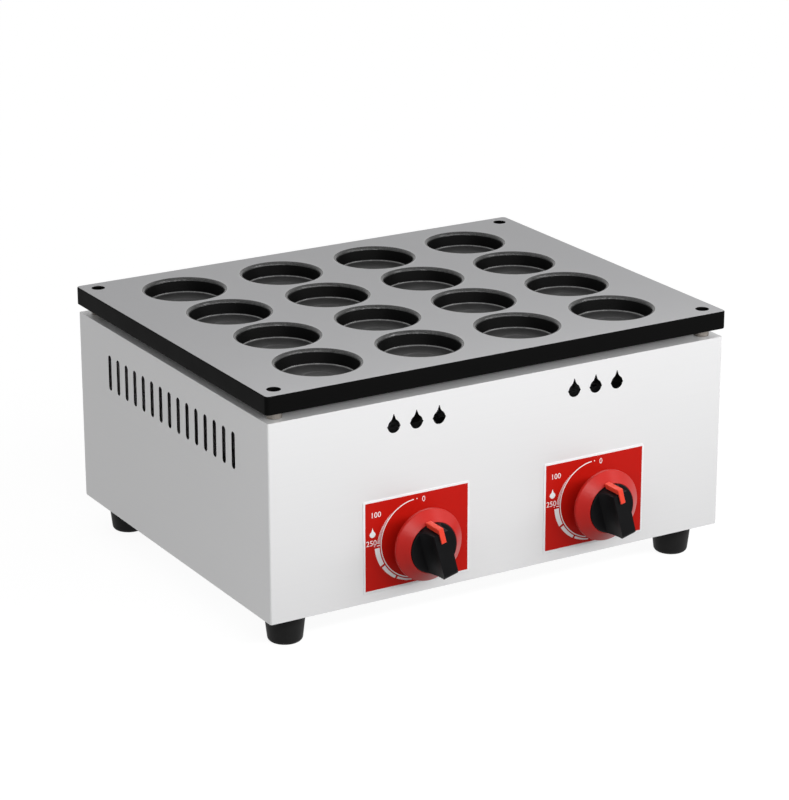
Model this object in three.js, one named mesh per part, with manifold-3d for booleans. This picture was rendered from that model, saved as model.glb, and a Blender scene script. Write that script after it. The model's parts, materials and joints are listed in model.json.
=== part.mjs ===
// A gas egg burger maker: a cast plate of sixteen round cups over a folded stainless housing.
// Millimetres, +Z up, +X right and +Y towards the back.
// While the pieces are built, x is zero at mid width, y at the front panel and z on the table.
// The group at the end moves them so that the origin is at the middle of the footprint.

import * as THREE from 'three';
import { mergeVertices } from 'three/addons/utils/BufferGeometryUtils.js';
import Module from 'manifold-3d';

// Clearances
const fitGap = 0.3;
const cutOverrun = 2;

// Counts of sides on round shapes
const fineSides = 18;
const roundSides = 14;
const pipeSides = 10;
const smallSides = 8;
const hexSides = 6;
const cornerSteps = 1;
const flameSteps = 4;
const leadSteps = 12;
const leadSides = 8;

// Housing: one folded sheet makes the front, the sides and the flanges
const housingWidth = 480;
const housingDepth = 378;
const housingHeight = 186;
const sheetThickness = 1.2;
const bendRadius = 1.8;
const topFlangeWidth = 30;
const rearFlangeWidth = 14;
const bottomFlangeWidth = 10;
const footDrop = 31;

// Vent slots, the same size in the sides and in the rear panel
const ventCount = 15;
const rearVentCount = 11;
const ventPitch = 17.8;
const ventWidth = 6.4;
const ventLength = 34.5;
const ventDrop = 26;

// Controls and peepholes on the front panel
const controlShift = 3.5;
const controlPitch = 190;
const controlRise = 52.8;
const shaftHoleRadius = 7;
const flameCount = 3;
const flamePitch = 23.3;
const flameDrop = 24.3;
const flameBellyRadius = 6.5;
const flameTipHeight = 9.4;
const flameNeckWidth = 2.6;
const flameNeckHeight = 5.6;

// Mould plate and its cups
const plateThickness = 17;
const plateOverhang = 2;
const plateCornerRadius = 4;
const plateWeb = 8;
const plateRimWidth = 10;
const cupPitchX = 104.4;
const cupPitchY = 86.1;
const cupColumns = 4;
const cupRowShifts = [-0.7, 6.3, 2.3, -0.7];
const cupMouthRadius = 37.4;
const cupLipRadius = 3;
const cupDraft = 1.4;
const cupDepth = 14;
const cupFloorFillet = 2;
const cupBowlWall = 4.5;
const cupFloorWall = 3.3;

// Corner bolts and spacers that hold the mould plate
const boltInset = 14;
const boltHoleRadius = 6;
const boltHeadSink = 6;
const boltHeadRadius = 5;
const boltHeadHeight = 6;
const boltSocketRadius = 2.6;
const boltSocketDepth = 3;
const boltShankRadius = 3;
const boltTail = 6;
const bossRadius = 11;
const spacerHeight = 8.3;
const spacerRadius = 7;

// Feet and their screws
const footInset = 30.5;
const footTopRadius = 19.4;
const footBottomRadius = 15.7;
const footEdgeRound = 2.5;
const footRecessRadius = 6.5;
const footRecessDepth = 15;
const footScrewHeadRadius = 5;
const footScrewHeadHeight = 3.4;
const footScrewRadius = 2.4;
const footScrewTail = 6;

// Base pan
const panLipHeight = 8;
const panSlotLength = 90;
const panSlotWidth = 8;
const panSlotPitch = 32;
const panSlotCount = 5;
const panSlotOffset = 115;

// Small screws of the rear panel and the base pan
const screwHeadRadius = 4;
const screwHeadHeight = 2.2;
const screwRadius = 1.9;
const screwLength = 8;
const rearScrewInset = 7;
const rearScrewDrop = 20;
const panScrewShift = 60;

// Dial plates
const dialWidth = 110;
const dialHeight = 87;
const dialThickness = 0.6;
const dialCornerRadius = 1.5;

// Knobs: the distances called reach are measured out from the front panel
const skirtRadius = 33.9;
const skirtBackReach = 18.5;
const skirtRimReach = 21.5;
const skirtNeckReach = 30;
const skirtWebReach = 21;
const skirtWebThickness = 2;
const skirtRimWall = 2;
const bossGripRadius = 23.3;
const bossGripReach = 31;
const bossEdgeRound = 1;
const hubRadius = 8;
const hubBackReach = 8;
const barFrontHalfWidth = 7.4;
const barMiddleHalfWidth = 8;
const barFlareHalfWidth = 9.2;
const barBaseHalfWidth = 11.5;
const barMiddleReach = 41;
const barFlareReach = 35;
const barTopHeight = 22.3;
const barFrontReach = 51;
const barTailRound = 5;
const pointerHalfWidth = 2.5;
const pointerThickness = 1.7;
const pointerRise = 5.2;
const pointerEndHeight = 13.2;
const knobRestTurn = 15;

// Press and turn mechanism
const pressTravel = 5;
const stemEndGap = 2;
const stemRadius = 4;
const stemFlatDepth = 1.2;
const stemFrontReach = 26;
const stemBackDepth = 49;
const stemShoulderRadius = 5.6;
const stemShoulderDepth = 10;
const stemShoulderLength = 4;
const springCupLength = 4;
const springCoilRadius = 6.1;
const springWireRadius = 0.7;
const springCurls = 5;
const springStepsPerCurl = 8;
const springSides = 5;

// Gas valves
const valveFlangeRadius = 14;
const valveFlangeLength = 3.5;
const valveBonnetRadius = 11;
const valveBonnetBack = 34;
const valveChamberRadius = 8.2;
const valveChamberBack = 36;
const valveBackDepth = 62;
const valveHalfSize = 15;
const valveOutletRadius = 8;
const valveOutletLength = 4;
const valveNeckRadius = 8;
const valveSaddleHalfWidth = 12;
const piezoRadius = 8;
const piezoRise = 21;
const piezoFront = 20;
const piezoBack = 52;
const piezoWebHalfWidth = 5;
const piezoTerminalRadius = 2.4;
const piezoTerminalLength = 5;

// Injectors
const injectorHexRadius = 6.5;
const injectorHexLength = 7;
const injectorNozzleRadius = 3.5;
const injectorBore = 1.5;

// Gas pipes
const manifoldRadius = 9;
const manifoldWall = 2;
const manifoldDepth = 47;
const manifoldDrop = 28;
const manifoldOverhang = 20;
const manifoldEndWall = 3;
const teeLength = 19;
const teeRadius = 9;
const feedRadius = 6;
const feedWall = 1.5;
const feedInsertion = 10;

// Rear gas inlet
const inletSocketRadius = 10;
const inletSocketLength = 22;
const inletFlangeRadius = 12.5;
const inletFlangeLength = 5;
const inletNeckRadius = 8;
const inletNutRadius = 13;
const inletNutLength = 6;
const inletBarbRadius = 5;
const inletBarbRoot = 4.1;
const inletBarbCount = 3;
const inletBarbPitch = 7;
const inletTailLength = 6;
const inletBore = 2.8;

// Burners: one under each pair of cup columns
const burnerDrop = 34;
const burnerBarRadius = 11;
const burnerWall = 1.5;
const burnerOverreach = 18;
const mixingRadius = 12;
const bellRadius = 21;
const bellDepth = 101;
const bellLength = 12;
const bellConeLength = 16;
const bellFaceThickness = 2;
const collarRadius = 7;
const collarBore = 4.5;
const collarLength = 5;
const windowInnerRadius = 9.5;
const windowOuterRadius = 17.5;
const windowCount = 3;
const windowAngle = Math.PI / 3.2;
const slotCount = 8;
const slotWidth = 1.6;
const slotLength = 9;

// Air shutters
const shutterThickness = 1.5;
const shutterRadius = 20.5;
const shutterTabWidth = 6;
const shutterTabLength = 6;

// Burner rails, shield and ignition
const railFrontDepth = 98;
const railRearDepth = 262;
const railWidth = 20;
const railThickness = 2;
const railLipHeight = 10;
const railFootLength = 16;
const shieldDepth = 28;
const shieldBottomRise = 35;
const shieldTopDrop = 36.2;
const shieldTabLength = 14;
const electrodeOffset = 18;
const electrodeRadius = 3.5;
const electrodeBelow = 22;
const electrodeAbove = 9;
const electrodeCollarRadius = 6;
const electrodeCollarHeight = 2;
const electrodeTipRadius = 0.9;
const electrodeTipLength = 13;
const leadRadius = 1.4;

// Levels worked out from the sizes above
const housingBottom = footDrop;
const housingTop = housingBottom + housingHeight;
const plateBottom = housingTop + spacerHeight;
const plateTop = plateBottom + plateThickness;
const halfWidth = housingWidth / 2;
const halfDepth = housingDepth / 2;
const panFloor = housingBottom + 2 * sheetThickness;
const controlHeight = housingBottom + controlRise;
const burnerHeight = housingTop - burnerDrop - burnerBarRadius;
const railHeight = burnerHeight - burnerBarRadius - fitGap;
const manifoldHeight = controlHeight - manifoldDrop;
const rowReach = ((cupRowShifts.length - 1) / 2) * cupPitchY;
const frontRow = halfDepth - rowReach;
const backRow = halfDepth + rowReach;
const stemShoulderBack = stemShoulderDepth + stemShoulderLength;
const springCupBack = stemShoulderBack + springCupLength;
const knobReach = barFrontReach + fitGap + pointerThickness;
const valveSeatDepth = stemBackDepth + pressTravel + stemEndGap;
const bellFaceBack = bellDepth + bellFaceThickness;
const innerWall = halfWidth - sheetThickness - fitGap;
const rearReach = inletNutLength + inletBarbCount * inletBarbPitch + inletTailLength;

const sides = [
  { name: 'left', sign: -1, x: controlShift - controlPitch / 2 },
  { name: 'right', sign: 1, x: controlShift + controlPitch / 2 },
];
const corners = [
  { name: 'front_left', sign: -1, back: false },
  { name: 'front_right', sign: 1, back: false },
  { name: 'back_left', sign: -1, back: true },
  { name: 'back_right', sign: 1, back: true },
];

// Materials, in the photograph's colours
function finish(color, roughness, metalness) {
  return () => new THREE.MeshStandardMaterial({ color, roughness, metalness });
}
const stainless = finish(0xd2d2d4, 0.35, 1);
const castPlate = finish(0x5c5d60, 0.5, 0.7);
const brightSteel = finish(0xdededf, 0.2, 1);
const blackSteel = finish(0x2a2a2c, 0.5, 0.8);
const castIron = finish(0x3a3836, 0.8, 0.6);
const brass = finish(0xc0a05a, 0.3, 1);
const galvanised = finish(0xa9abae, 0.5, 0.9);
const rubber = finish(0x141414, 0.8, 0);
const blackPlastic = finish(0x17171a, 0.45, 0);
const redPlastic = finish(0xd8301f, 0.35, 0);
const redPrint = finish(0xc4281a, 0.4, 0);
const ceramic = finish(0xece7dc, 0.4, 0);
const leadSleeve = finish(0xb8482f, 0.6, 0);

// Solids: every shape becomes a closed solid, facing outwards
const wasm = await Module();
wasm.setup();

function signedVolume(points, triangles) {
  const [a, b, c] = [new THREE.Vector3(), new THREE.Vector3(), new THREE.Vector3()];
  let total = 0;
  for (let i = 0; i < triangles.length; i += 3) {
    a.fromArray(points, 3 * triangles[i]);
    b.fromArray(points, 3 * triangles[i + 1]);
    c.fromArray(points, 3 * triangles[i + 2]);
    total += a.dot(b.cross(c)) / 6;
  }
  return total;
}

function solid(geometry) {
  geometry.deleteAttribute('normal');
  geometry.deleteAttribute('uv');
  const merged = mergeVertices(geometry);
  const points = merged.getAttribute('position').array;
  const corner = merged.getIndex().array;
  const triangles = [];
  for (let i = 0; i < corner.length; i += 3) {
    const [a, b, c] = [corner[i], corner[i + 1], corner[i + 2]];
    if (a !== b && b !== c && c !== a) triangles.push(a, b, c);
  }
  if (signedVolume(points, triangles) < 0) triangles.reverse();
  const mesh = new wasm.Mesh({
    numProp: 3,
    vertProperties: Float32Array.from(points),
    triVerts: Uint32Array.from(triangles),
  });
  return new wasm.Manifold(mesh);
}

function geometryOf(shape) {
  const mesh = shape.getMesh();
  const geometry = new THREE.BufferGeometry();
  geometry.setAttribute('position', new THREE.BufferAttribute(mesh.vertProperties, 3));
  geometry.setIndex(new THREE.BufferAttribute(mesh.triVerts, 1));
  geometry.computeVertexNormals();
  return geometry;
}

function joined(...shapes) {
  return shapes.reduce((whole, shape) => whole.add(shape));
}

function block(x0, x1, y0, y1, z0, z1) {
  const geometry = new THREE.BoxGeometry(x1 - x0, y1 - y0, z1 - z0);
  geometry.translate((x0 + x1) / 2, (y0 + y1) / 2, (z0 + z1) / 2);
  return solid(geometry);
}

// A straight rod from one place to another along an axis; the centre gives its other two places
function rod(axis, radius, from, to, centre, count = pipeSides) {
  const geometry = new THREE.CylinderGeometry(radius, radius, to - from, count);
  const middle = (from + to) / 2;
  if (axis === 'x') geometry.rotateZ(Math.PI / 2).translate(middle, centre[0], centre[1]);
  if (axis === 'y') geometry.translate(centre[0], middle, centre[1]);
  if (axis === 'z') geometry.rotateX(Math.PI / 2).translate(centre[0], centre[1], middle);
  return solid(geometry);
}

function pipe(axis, radius, bore, from, to, centre, count = pipeSides) {
  const hole = rod(axis, bore, from - cutOverrun, to + cutOverrun, centre, count);
  return rod(axis, radius, from, to, centre, count).subtract(hole);
}

// A turned shape: its points are [radius, place along the axis], and an open outline ends on the axis
function turned(axis, points, centre, count = roundSides) {
  const closed = points[0][0] > 0 ? [...points, points[0]] : points;
  const profile = closed.map(([radius, along]) => new THREE.Vector2(radius, along));
  const geometry = new THREE.LatheGeometry(profile, count);
  if (axis === 'y') geometry.translate(centre[0], 0, centre[1]);
  if (axis === 'z') geometry.rotateX(Math.PI / 2).translate(centre[0], centre[1], 0);
  return solid(geometry);
}

// A flat outline given a thickness: floor is the plane (x, y), front is (x, z) and side is (y, z)
function extruded(plane, outline, start, thickness, curveSegments = cornerSteps) {
  const settings = { depth: thickness, bevelEnabled: false, curveSegments };
  const geometry = new THREE.ExtrudeGeometry(outline, settings);
  const [x, y, z] = [new THREE.Vector3(1, 0, 0), new THREE.Vector3(0, 1, 0), new THREE.Vector3(0, 0, 1)];
  const turn = new THREE.Matrix4();
  if (plane === 'floor') geometry.translate(0, 0, start);
  if (plane === 'front') {
    geometry.applyMatrix4(turn.makeBasis(x, z, y.clone().negate())).translate(0, start + thickness, 0);
  }
  if (plane === 'side') geometry.applyMatrix4(turn.makeBasis(y, z, x)).translate(start, 0, 0);
  return solid(geometry);
}

function polygon(points) {
  return new THREE.Shape(points.map(([a, b]) => new THREE.Vector2(a, b)));
}

// A rectangle whose two near corners are rounded by one radius and its two far corners by another
function roundedRectangle(a0, a1, b0, b1, near, far = near) {
  const shape = new THREE.Shape();
  shape.moveTo(a0 + near, b0);
  shape.lineTo(a1 - near, b0);
  if (near > 0) shape.absarc(a1 - near, b0 + near, near, -Math.PI / 2, 0, false);
  shape.lineTo(a1, b1 - far);
  if (far > 0) shape.absarc(a1 - far, b1 - far, far, 0, Math.PI / 2, false);
  shape.lineTo(a0 + far, b1);
  if (far > 0) shape.absarc(a0 + far, b1 - far, far, Math.PI / 2, Math.PI, false);
  shape.lineTo(a0, b0 + near);
  if (near > 0) shape.absarc(a0 + near, b0 + near, near, Math.PI, 1.5 * Math.PI, false);
  return shape;
}

// A slot with round ends that stands upright in its plane
function uprightSlot(middle, top) {
  const half = ventWidth / 2;
  return roundedRectangle(middle - half, middle + half, top - ventLength, top, half);
}

function flameOutline(x, z) {
  const opening = Math.PI / 3;
  const shape = new THREE.Shape();
  shape.moveTo(x, z + flameTipHeight);
  shape.quadraticCurveTo(
    x + flameNeckWidth / 2, z + flameNeckHeight + flameNeckWidth / 2,
    x + flameBellyRadius * Math.cos(opening), z + flameBellyRadius * Math.sin(opening),
  );
  shape.absarc(x, z, flameBellyRadius, opening, -Math.PI - opening, true);
  shape.quadraticCurveTo(
    x - flameNeckWidth / 2, z + flameNeckHeight + flameNeckWidth / 2,
    x, z + flameTipHeight,
  );
  return shape;
}

// The assembly
const machine = new THREE.Group();

function add(name, shape, material) {
  const mesh = new THREE.Mesh(geometryOf(shape), material());
  mesh.name = name;
  machine.add(mesh);
}

function cornerPlace(corner, inset) {
  return [corner.sign * (halfWidth - inset), corner.back ? housingDepth - inset : inset];
}

function ventPlaces(count) {
  return Array.from({ length: count }, (_, i) => (i - (count - 1) / 2) * ventPitch);
}

function addHousing() {
  const shellBack = housingDepth - sheetThickness;
  const outline = roundedRectangle(-halfWidth, halfWidth, 0, shellBack, bendRadius, 0);
  let shell = extruded('floor', outline, housingBottom, housingHeight);
  const inner = halfWidth - sheetThickness;
  const cuts = [
    block(-inner, inner, sheetThickness, shellBack - sheetThickness,
      housingBottom + sheetThickness, housingTop - sheetThickness),
    block(topFlangeWidth - halfWidth, halfWidth - topFlangeWidth, topFlangeWidth,
      housingDepth - topFlangeWidth, housingTop - 2 * cutOverrun, housingTop + cutOverrun),
    block(bottomFlangeWidth - halfWidth, halfWidth - bottomFlangeWidth, bottomFlangeWidth,
      housingDepth - bottomFlangeWidth, housingBottom - cutOverrun, housingBottom + 2 * cutOverrun),
    block(rearFlangeWidth - halfWidth, halfWidth - rearFlangeWidth, shellBack - 2 * cutOverrun,
      shellBack + cutOverrun, housingBottom + sheetThickness, housingTop - rearFlangeWidth),
  ];
  for (const place of ventPlaces(ventCount)) {
    const slot = uprightSlot(halfDepth + place, housingTop - ventDrop);
    cuts.push(extruded('side', slot, -halfWidth - cutOverrun, housingWidth + 2 * cutOverrun));
  }
  const depth = sheetThickness + 2 * cutOverrun;
  for (const side of sides) {
    for (let i = 0; i < flameCount; i += 1) {
      const x = side.x + (i - (flameCount - 1) / 2) * flamePitch;
      const flame = flameOutline(x, housingTop - flameDrop);
      cuts.push(extruded('front', flame, -cutOverrun, depth, flameSteps));
    }
    cuts.push(rod('y', shaftHoleRadius, -cutOverrun, depth, [side.x, controlHeight]));
  }
  for (const corner of corners) {
    const flange = [housingTop - sheetThickness - cutOverrun, housingTop + cutOverrun];
    const rear = [shellBack - sheetThickness - cutOverrun, shellBack + cutOverrun];
    cuts.push(rod('z', boltShankRadius + fitGap, ...flange, cornerPlace(corner, boltInset), smallSides));
    cuts.push(rod('y', screwRadius + fitGap, ...rear, rearScrewPlace(corner), smallSides));
  }
  for (const y of panScrewPlaces()) {
    const place = [-panScrewShift, y];
    cuts.push(rod('z', screwRadius + fitGap, housingBottom - cutOverrun, panFloor, place, smallSides));
  }
  for (const cut of cuts) shell = shell.subtract(cut);
  add('body_shell', shell, stainless);
}

function rearScrewPlace(corner) {
  const x = corner.sign * (halfWidth - rearScrewInset);
  return [x, corner.back ? housingTop - rearScrewDrop : housingBottom + rearScrewDrop];
}

function panScrewPlaces() {
  const inset = (sheetThickness + fitGap + sheetThickness + bottomFlangeWidth) / 2;
  return [inset, housingDepth - sheetThickness - inset];
}

function addRearPanel() {
  const front = housingDepth - sheetThickness;
  const through = [front - cutOverrun, housingDepth + cutOverrun];
  let panel = block(-halfWidth, halfWidth, front, housingDepth, housingBottom, housingTop);
  for (const place of ventPlaces(rearVentCount)) {
    const slot = uprightSlot(place, housingTop - ventDrop);
    panel = panel.subtract(extruded('front', slot, through[0], through[1] - through[0]));
  }
  for (const corner of corners) {
    panel = panel.subtract(rod('y', screwRadius + fitGap, ...through, rearScrewPlace(corner), smallSides));
    const [x, z] = rearScrewPlace(corner);
    const name = `rear_screw_${corner.back ? 'top' : 'bottom'}_${corner.sign < 0 ? 'left' : 'right'}`;
    const head = screwHeadHeight;
    add(name, turned('y', [
      [0, housingDepth + head],
      [screwHeadRadius / 2, housingDepth + head],
      [screwHeadRadius, housingDepth + head / 2],
      [screwHeadRadius, housingDepth],
      [screwRadius, housingDepth],
      [screwRadius, housingDepth - screwLength],
      [0, housingDepth - screwLength],
    ], [x, z], smallSides), brightSteel);
  }
  const inlet = [controlShift, manifoldHeight];
  panel = panel.subtract(rod('y', inletNeckRadius + fitGap, ...through, inlet));
  add('rear_panel', panel, stainless);
}

function addBasePan() {
  const low = housingBottom + sheetThickness;
  const front = sheetThickness + fitGap;
  const back = housingDepth - 2 * sheetThickness - fitGap;
  const wall = sheetThickness;
  const through = [low - cutOverrun, panFloor + cutOverrun];
  let pan = block(-innerWall, innerWall, front, back, low, panFloor + panLipHeight);
  pan = pan.subtract(block(wall - innerWall, innerWall - wall, front + wall, back - wall,
    panFloor, panFloor + panLipHeight + cutOverrun));
  for (const corner of corners) {
    const place = cornerPlace(corner, footInset);
    pan = pan.subtract(rod('z', footScrewRadius + fitGap, ...through, place, smallSides));
  }
  const half = panSlotWidth / 2;
  for (const side of sides) {
    for (let i = 0; i < panSlotCount; i += 1) {
      const x = side.sign * panSlotOffset;
      const y = halfDepth + (i - (panSlotCount - 1) / 2) * panSlotPitch;
      const slot = roundedRectangle(x - panSlotLength / 2, x + panSlotLength / 2, y - half, y + half, half);
      pan = pan.subtract(extruded('floor', slot, low - cutOverrun, wall + 2 * cutOverrun));
    }
  }
  const names = ['pan_screw_front', 'pan_screw_rear'];
  panScrewPlaces().forEach((y, i) => {
    pan = pan.subtract(rod('z', screwRadius + fitGap, ...through, [-panScrewShift, y], smallSides));
    add(names[i], turned('z', [
      [0, housingBottom - screwHeadHeight],
      [screwHeadRadius / 2, housingBottom - screwHeadHeight],
      [screwHeadRadius, housingBottom - screwHeadHeight / 2],
      [screwHeadRadius, housingBottom],
      [screwRadius, housingBottom],
      [screwRadius, housingBottom + screwLength],
      [0, housingBottom + screwLength],
    ], [-panScrewShift, y], smallSides), brightSteel);
  });
  add('base_pan', pan, galvanised);
}

function cupPlaces() {
  const places = [];
  cupRowShifts.forEach((shift, row) => {
    for (let column = 0; column < cupColumns; column += 1) {
      places.push([shift + (column - (cupColumns - 1) / 2) * cupPitchX, frontRow + row * cupPitchY]);
    }
  });
  return places;
}

// The hollow of one cup: a sloping lip, a slightly tapered wall and a flat floor
function cupHollow(place) {
  const lip = cupMouthRadius + cupLipRadius;
  const low = cupMouthRadius - cupDraft;
  const floor = plateTop - cupDepth;
  return turned('z', [
    [0, plateTop + cutOverrun],
    [lip, plateTop + cutOverrun],
    [lip, plateTop],
    [cupMouthRadius, plateTop - cupLipRadius],
    [low, floor + cupFloorFillet],
    [low - cupFloorFillet, floor],
    [0, floor],
  ], place, fineSides);
}

function addMouldPlate() {
  const over = plateOverhang;
  const across = halfWidth + over;
  const outline = roundedRectangle(-across, across, -over, housingDepth + over, plateCornerRadius);
  const low = plateBottom;
  const rim = plateRimWidth - over;
  let plate = extruded('floor', outline, low, plateThickness);
  plate = plate.subtract(block(rim - halfWidth, halfWidth - rim, rim, housingDepth - rim,
    low - cutOverrun, plateTop - plateWeb));
  const bowl = cupMouthRadius + cupBowlWall;
  const bowlBottom = plateTop - cupDepth - cupFloorWall;
  for (const place of cupPlaces()) {
    plate = plate.add(rod('z', bowl, bowlBottom, plateTop - plateWeb / 2, place, fineSides));
  }
  for (const corner of corners) {
    const place = cornerPlace(corner, boltInset);
    const seat = plateTop - boltHeadSink - boltHeadHeight;
    plate = plate.add(rod('z', bossRadius, low, plateTop - plateWeb / 2, place));
    plate = plate.subtract(rod('z', boltHoleRadius, seat, plateTop + cutOverrun, place, roundSides));
    const hole = rod('z', boltShankRadius + fitGap, low - cutOverrun, seat + cutOverrun, place, smallSides);
    plate = plate.subtract(hole);
  }
  for (const place of cupPlaces()) plate = plate.subtract(cupHollow(place));
  add('mould_plate', plate, castPlate);
}

function addPlateMounting(corner) {
  const place = cornerPlace(corner, boltInset);
  const seat = plateTop - boltHeadSink - boltHeadHeight;
  const hole = boltShankRadius + fitGap;
  const spacer = pipe('z', spacerRadius, hole, housingTop, plateBottom, place, roundSides);
  add(`plate_spacer_${corner.name}`, spacer, brightSteel);
  const head = rod('z', boltHeadRadius, seat, seat + boltHeadHeight, place);
  const shank = rod('z', boltShankRadius, housingTop - sheetThickness - boltTail, seat + boltHeadHeight / 2,
    place, smallSides);
  const socket = rod('z', boltSocketRadius, seat + boltHeadHeight - boltSocketDepth,
    seat + boltHeadHeight + cutOverrun, place, hexSides);
  add(`plate_bolt_${corner.name}`, head.add(shank).subtract(socket), blackSteel);
}

function addFoot(corner) {
  const place = cornerPlace(corner, footInset);
  const top = housingBottom + sheetThickness;
  const lean = footEdgeRound * (1 - Math.SQRT1_2);
  const foot = turned('z', [
    [footRecessRadius, 0],
    [footBottomRadius - footEdgeRound, 0],
    [footBottomRadius - lean, lean],
    [footBottomRadius, footEdgeRound],
    [footTopRadius, top],
    [footScrewRadius + fitGap, top],
    [footScrewRadius + fitGap, footRecessDepth],
    [footRecessRadius, footRecessDepth],
  ], place);
  add(`foot_${corner.name}`, foot, rubber);
  const headBottom = footRecessDepth - footScrewHeadHeight;
  const shankBottom = footRecessDepth - footScrewHeadHeight / 2;
  const head = rod('z', footScrewHeadRadius, headBottom, footRecessDepth, place, smallSides);
  const shank = rod('z', footScrewRadius, shankBottom, panFloor + footScrewTail, place, smallSides);
  add(`foot_screw_${corner.name}`, head.add(shank), brightSteel);
}

function addDialPlate(side) {
  const x = dialWidth / 2;
  const z = dialHeight / 2;
  const [left, right, low, high] = [side.x - x, side.x + x, controlHeight - z, controlHeight + z];
  const outline = roundedRectangle(left, right, low, high, dialCornerRadius);
  const plate = extruded('front', outline, -dialThickness, dialThickness);
  const hole = rod('y', shaftHoleRadius, -dialThickness - cutOverrun, cutOverrun, [side.x, controlHeight]);
  add(`dial_plate_${side.name}`, plate.subtract(hole), redPrint);
}

// The grip points a little to the left at rest, so what is drawn upright is turned about the knob's axis
function turnedToRest(shape, side) {
  return shape
    .translate([-side.x, 0, -controlHeight])
    .rotate([0, -knobRestTurn, 0])
    .translate([side.x, 0, controlHeight]);
}

// The bar of the grip: a concave section drawn along z, cut to its side view and to the round boss
function gripBar(side) {
  const halfProfile = [
    [barBaseHalfWidth, -bossGripReach + cutOverrun],
    [barBaseHalfWidth, -bossGripReach],
    [barFlareHalfWidth, -barFlareReach],
    [barMiddleHalfWidth, -barMiddleReach],
    [barFrontHalfWidth, -barFrontReach - cutOverrun],
  ];
  const section = [...halfProfile, ...halfProfile.map(([x, y]) => [-x, y]).reverse()];
  const shifted = section.map(([x, y]) => [side.x + x, y]);
  const height = 2 * (bossGripRadius + cutOverrun);
  const drawn = extruded('floor', polygon(shifted), controlHeight - height / 2, height);
  const low = controlHeight - bossGripRadius;
  const lean = barTailRound * (1 - Math.SQRT1_2);
  const view = polygon([
    [-bossGripReach + cutOverrun, low - cutOverrun],
    [-barFrontReach + barTailRound, low - cutOverrun],
    [-barFrontReach + barTailRound, low],
    [-barFrontReach + lean, low + lean],
    [-barFrontReach, low + barTailRound],
    [-barFrontReach, controlHeight + barTopHeight],
    [-bossGripReach + cutOverrun, controlHeight + barTopHeight],
  ]);
  const reach = barBaseHalfWidth + cutOverrun;
  const sideView = extruded('side', view, side.x - reach, 2 * reach);
  const round = rod('y', bossGripRadius, -barFrontReach - cutOverrun, -bossGripReach + 2 * cutOverrun,
    [side.x, controlHeight], fineSides);
  return turnedToRest(drawn.intersect(sideView), side).intersect(round);
}

// The pointer: a bent strip that lies on the bar's top and a little way down its front
function pointerStrip(side) {
  const low = controlHeight + barTopHeight + fitGap;
  const view = polygon([
    [-bossGripReach - fitGap, low],
    [-barFrontReach - fitGap, low],
    [-barFrontReach - fitGap, controlHeight + pointerEndHeight],
    [-knobReach, controlHeight + pointerEndHeight],
    [-knobReach, low + pointerRise],
    [-bossGripReach - fitGap, low + pointerRise],
  ]);
  const strip = extruded('side', view, side.x - pointerHalfWidth, 2 * pointerHalfWidth);
  return turnedToRest(strip, side);
}

function stemBlank(side, radius, front, back) {
  const flat = controlHeight + radius - stemFlatDepth;
  const bar = rod('y', radius, front, back, [side.x, controlHeight]);
  const flatBack = -hubBackReach + fitGap;
  return bar.subtract(block(side.x - 2 * radius, side.x + 2 * radius, front - cutOverrun, flatBack,
    flat, flat + 2 * radius));
}

function addKnob(side) {
  const centre = [side.x, controlHeight];
  const webFront = skirtWebReach + skirtWebThickness;
  const boss = turned('y', [
    [0, -bossGripReach],
    [bossGripRadius - bossEdgeRound, -bossGripReach],
    [bossGripRadius, -bossGripReach + bossEdgeRound],
    [bossGripRadius, -webFront - fitGap],
    [hubRadius, -webFront - fitGap],
    [hubRadius, -hubBackReach],
    [0, -hubBackReach],
  ], centre, fineSides);
  const boreEnds = [-stemFrontReach - fitGap, -hubBackReach + cutOverrun];
  const bore = stemBlank(side, stemRadius + fitGap, ...boreEnds);
  add(`knob_grip_${side.name}`, boss.add(gripBar(side)).subtract(bore), blackPlastic);
  const opening = bossGripRadius + fitGap;
  const skirt = turned('y', [
    [hubRadius + fitGap, -webFront],
    [opening, -webFront],
    [opening, -skirtNeckReach],
    [skirtRadius, -skirtRimReach],
    [skirtRadius, -skirtBackReach],
    [skirtRadius - skirtRimWall, -skirtBackReach],
    [skirtRadius - skirtRimWall, -skirtWebReach],
    [hubRadius + fitGap, -skirtWebReach],
  ], centre, fineSides);
  add(`knob_skirt_${side.name}`, skirt, redPlastic);
  add(`knob_pointer_${side.name}`, pointerStrip(side), redPlastic);
}

function addStem(side) {
  const centre = [side.x, controlHeight];
  const shaft = stemBlank(side, stemRadius, -stemFrontReach, stemBackDepth);
  const shoulder = rod('y', stemShoulderRadius, stemShoulderDepth, stemShoulderBack, centre);
  add(`valve_stem_${side.name}`, shaft.add(shoulder), brass);
  const cupRadius = valveChamberRadius - fitGap;
  const cup = pipe('y', cupRadius, stemRadius + fitGap, stemShoulderBack, springCupBack, centre);
  add(`spring_cup_${side.name}`, cup, brightSteel);
}

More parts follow.
